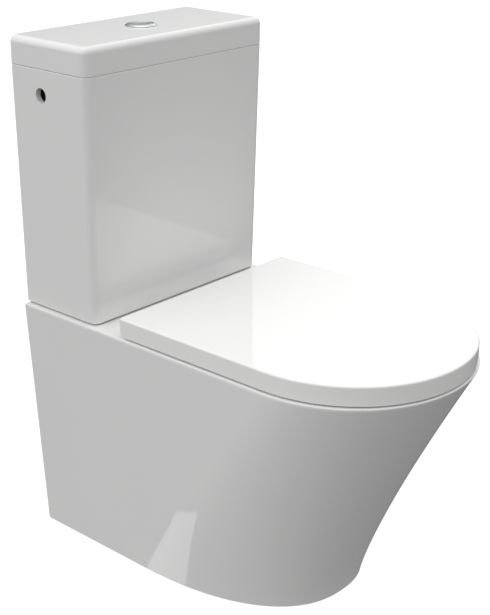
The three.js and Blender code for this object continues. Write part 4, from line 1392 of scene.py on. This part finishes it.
# ---------------------------------------------------------------- stage

# The camera stands to the front left of the toilet, at head height.
CAMERA = {
    "place": (-1.374, -1.138, 1.133),
    "azimuth": -48.43,
    "elevation": 22.33,
    "roll": 0.44,
    "focal": 1286.3 / PICTURE[1],
    "centre": (227.1 / PICTURE[0], 322.1 / PICTURE[1]),
}


# Soft light off the studio's white walls and ceiling, as broad lobes of glow: the azimuth of each runs from
# +X towards +Y, then come its elevation, its sharpness and its strength.
GLOW = (
    (180, 0, 1, 0.41),
    (180, 10, 4, 0.44),
    (135, 10, 4, 0.42),
    (0, 90, 2, 1.02),
    (0, 90, 8, 0.55),
    (25, 25, 12, 0.42),
    (30, 24, 40, 0.58),
    (-22, 20, 4, 0.43),
)
LOW_PANEL = {
    "place": (-0.71, 0.5725, -0.56),
    "faces": (0.53, -0.55, 0.64),
    "outline": ((0.030, 0.113), (-0.080, 0.042), (-0.105, -0.170), (0.125, -0.045)),
    "strength": 1.05,
}
HORIZON_FADE = 10  # how sharply the lobes end at the horizon
GLOW_BASE = 0.22  # strength of the walls between the lobes, and of what lies under the horizon


class TOILET_OT_stage(bpy.types.Operator):
    """Sets up the camera, a pale floor and soft studio light"""

    bl_idname = "toilet.stage"
    bl_label = "Stage"

    def execute(self, context):
        self.camera(context)
        self.floor(context)
        self.low_panel()
        self.sky(context)
        context.scene.view_settings.view_transform = "Standard"
        return {"FINISHED"}

    def camera(self, context):
        data = bpy.data.cameras.new("camera")
        sensor = 36.0
        data.sensor_width = sensor
        data.lens = CAMERA["focal"] * sensor
        data.clip_end = 50
        wide, tall = PICTURE
        data.shift_x = (0.5 - CAMERA["centre"][0]) * wide / tall
        data.shift_y = CAMERA["centre"][1] - 0.5
        azimuth, tilt, roll = (math.radians(CAMERA[k]) for k in ("azimuth", "elevation", "roll"))
        ahead = Vector((-math.sin(azimuth) * math.cos(tilt), math.cos(azimuth) * math.cos(tilt),
                        -math.sin(tilt)))
        right = Vector((math.cos(azimuth), math.sin(azimuth), 0))
        up = right.cross(ahead)
        c, s = math.cos(roll), math.sin(roll)
        right, up = c * right + s * up, c * up - s * right
        turn = Matrix((right, up, -ahead)).transposed().to_4x4()
        obj = bpy.data.objects.new("camera", data)
        obj.matrix_world = Matrix.Translation(CAMERA["place"]) @ turn
        context.scene.collection.objects.link(obj)
        context.scene.camera = obj

    def floor(self, context):
        """A white floor that sweeps up into a wall all round, and that lights nothing."""
        flat, bend, top = 5.0, 1.5, 7.0
        profile = [(0, 0), (flat / 2, 0), (flat, 0)]
        profile += [(flat + x, bend + z) for x, z in arc(0, 0, bend, -90, 0, 12)]
        profile += [(flat + bend, top), (0, top)]
        cove = spun("studio_floor", profile, (0, 0, -0.0002), 96)
        cove.data.shade_smooth()
        material, _, shader = new_material("matt_painted_cove", Roughness=0.9)
        look = context.scene.toilet_look
        shader.inputs["Base Color"].default_value = (*look.floor, 1)
        shader.inputs["Emission Color"].default_value = (1, 1, 1, 1)
        shader.inputs["Emission Strength"].default_value = look.floor_glow
        cove.data.materials.append(material)
        for ray in ("diffuse", "glossy", "transmission", "volume_scatter", "shadow"):
            setattr(cove, f"visible_{ray}", False)

    def low_panel(self):
        """A small lit panel low beside the toilet, which shows only as a gleam at the foot of the pan."""
        panel = lofted("low_panel", [raised(LOW_PANEL["outline"], z) for z in (-MM, MM)])
        turn = Vector(LOW_PANEL["faces"]).to_track_quat("Z", "Y").to_matrix().to_4x4()
        panel.data.transform(Matrix.Translation(LOW_PANEL["place"]) @ turn)
        material, _, shader = new_material("lamp_diffuser", Roughness=0.9)
        shader.inputs["Emission Color"].default_value = (1, 1, 1, 1)
        shader.inputs["Emission Strength"].default_value = LOW_PANEL["strength"]
        panel.data.materials.append(material)
        for ray in ("camera", "diffuse", "transmission", "volume_scatter", "shadow"):
            setattr(panel, f"visible_{ray}", False)

    def sky(self, context):
        world = bpy.data.worlds.new("studio")
        world.use_nodes = True
        context.scene.world = world
        tree = world.node_tree
        glow = tree.nodes["Background"]
        glow.inputs["Color"].default_value = (1, 1, 1, 1)

        place = node(tree, "ShaderNodeTexCoord").outputs["Generated"]
        height = node(tree, "ShaderNodeSeparateXYZ", Vector=place).outputs["Z"]
        fade = {"operation": "MULTIPLY_ADD", "use_clamp": True}
        horizon = node(tree, "ShaderNodeMath", fade, (height, HORIZON_FADE, 0.5)).outputs["Value"]
        total = 0.0
        for azimuth, elevation, sharpness, strength in GLOW:
            a, e = math.radians(azimuth), math.radians(elevation)
            towards = (math.cos(a) * math.cos(e), math.sin(a) * math.cos(e), math.sin(e))
            facing = node(tree, "ShaderNodeVectorMath", {"operation": "DOT_PRODUCT"}, (place, towards))
            front = node(tree, "ShaderNodeMath", {"operation": "MAXIMUM"}, (facing.outputs["Value"], 0.0))
            lobe = node(tree, "ShaderNodeMath", {"operation": "POWER"}, (front.outputs["Value"], sharpness))
            feeds = (lobe.outputs["Value"], strength, total)
            total = node(tree, "ShaderNodeMath", {"operation": "MULTIPLY_ADD"}, feeds).outputs["Value"]
        feeds = (total, horizon, GLOW_BASE)
        total = node(tree, "ShaderNodeMath", {"operation": "MULTIPLY_ADD"}, feeds).outputs["Value"]
        tree.links.new(total, glow.inputs["Strength"])


# ---------------------------------------------------------------- add-on

STEPS = (
    TOILET_OT_stage,
    TOILET_OT_pan,
    TOILET_OT_cistern,
    TOILET_OT_buttons,
    TOILET_OT_seat,
    TOILET_OT_hinges,
    TOILET_OT_fixings,
    TOILET_OT_flush_valve,
    TOILET_OT_fill_valve,
)


class TOILET_PT_panel(bpy.types.Panel):
    """Lists the sizes, the colours and every step of the build"""

    bl_label = "Close coupled toilet"
    bl_idname = "TOILET_PT_panel"
    bl_space_type = "VIEW_3D"
    bl_region_type = "UI"
    bl_category = "Toilet"

    def draw(self, context):
        for group in (context.scene.toilet_sizes, context.scene.toilet_look):
            for key in group.__annotations__:
                self.layout.prop(group, key)
        for step in STEPS:
            self.layout.operator(step.bl_idname)


CLASSES = (ToiletSizes, ToiletLook, *STEPS, TOILET_PT_panel)


def register():
    for cls in CLASSES:
        bpy.utils.register_class(cls)
    bpy.types.Scene.toilet_sizes = PointerProperty(type=ToiletSizes)
    bpy.types.Scene.toilet_look = PointerProperty(type=ToiletLook)


def unregister():
    del bpy.types.Scene.toilet_look
    del bpy.types.Scene.toilet_sizes
    for cls in reversed(CLASSES):
        bpy.utils.unregister_class(cls)


def main():
    register()
    for step in STEPS:
        group, name = step.bl_idname.split(".")
        getattr(getattr(bpy.ops, group), name)()


if __name__ == "__main__":
    main()
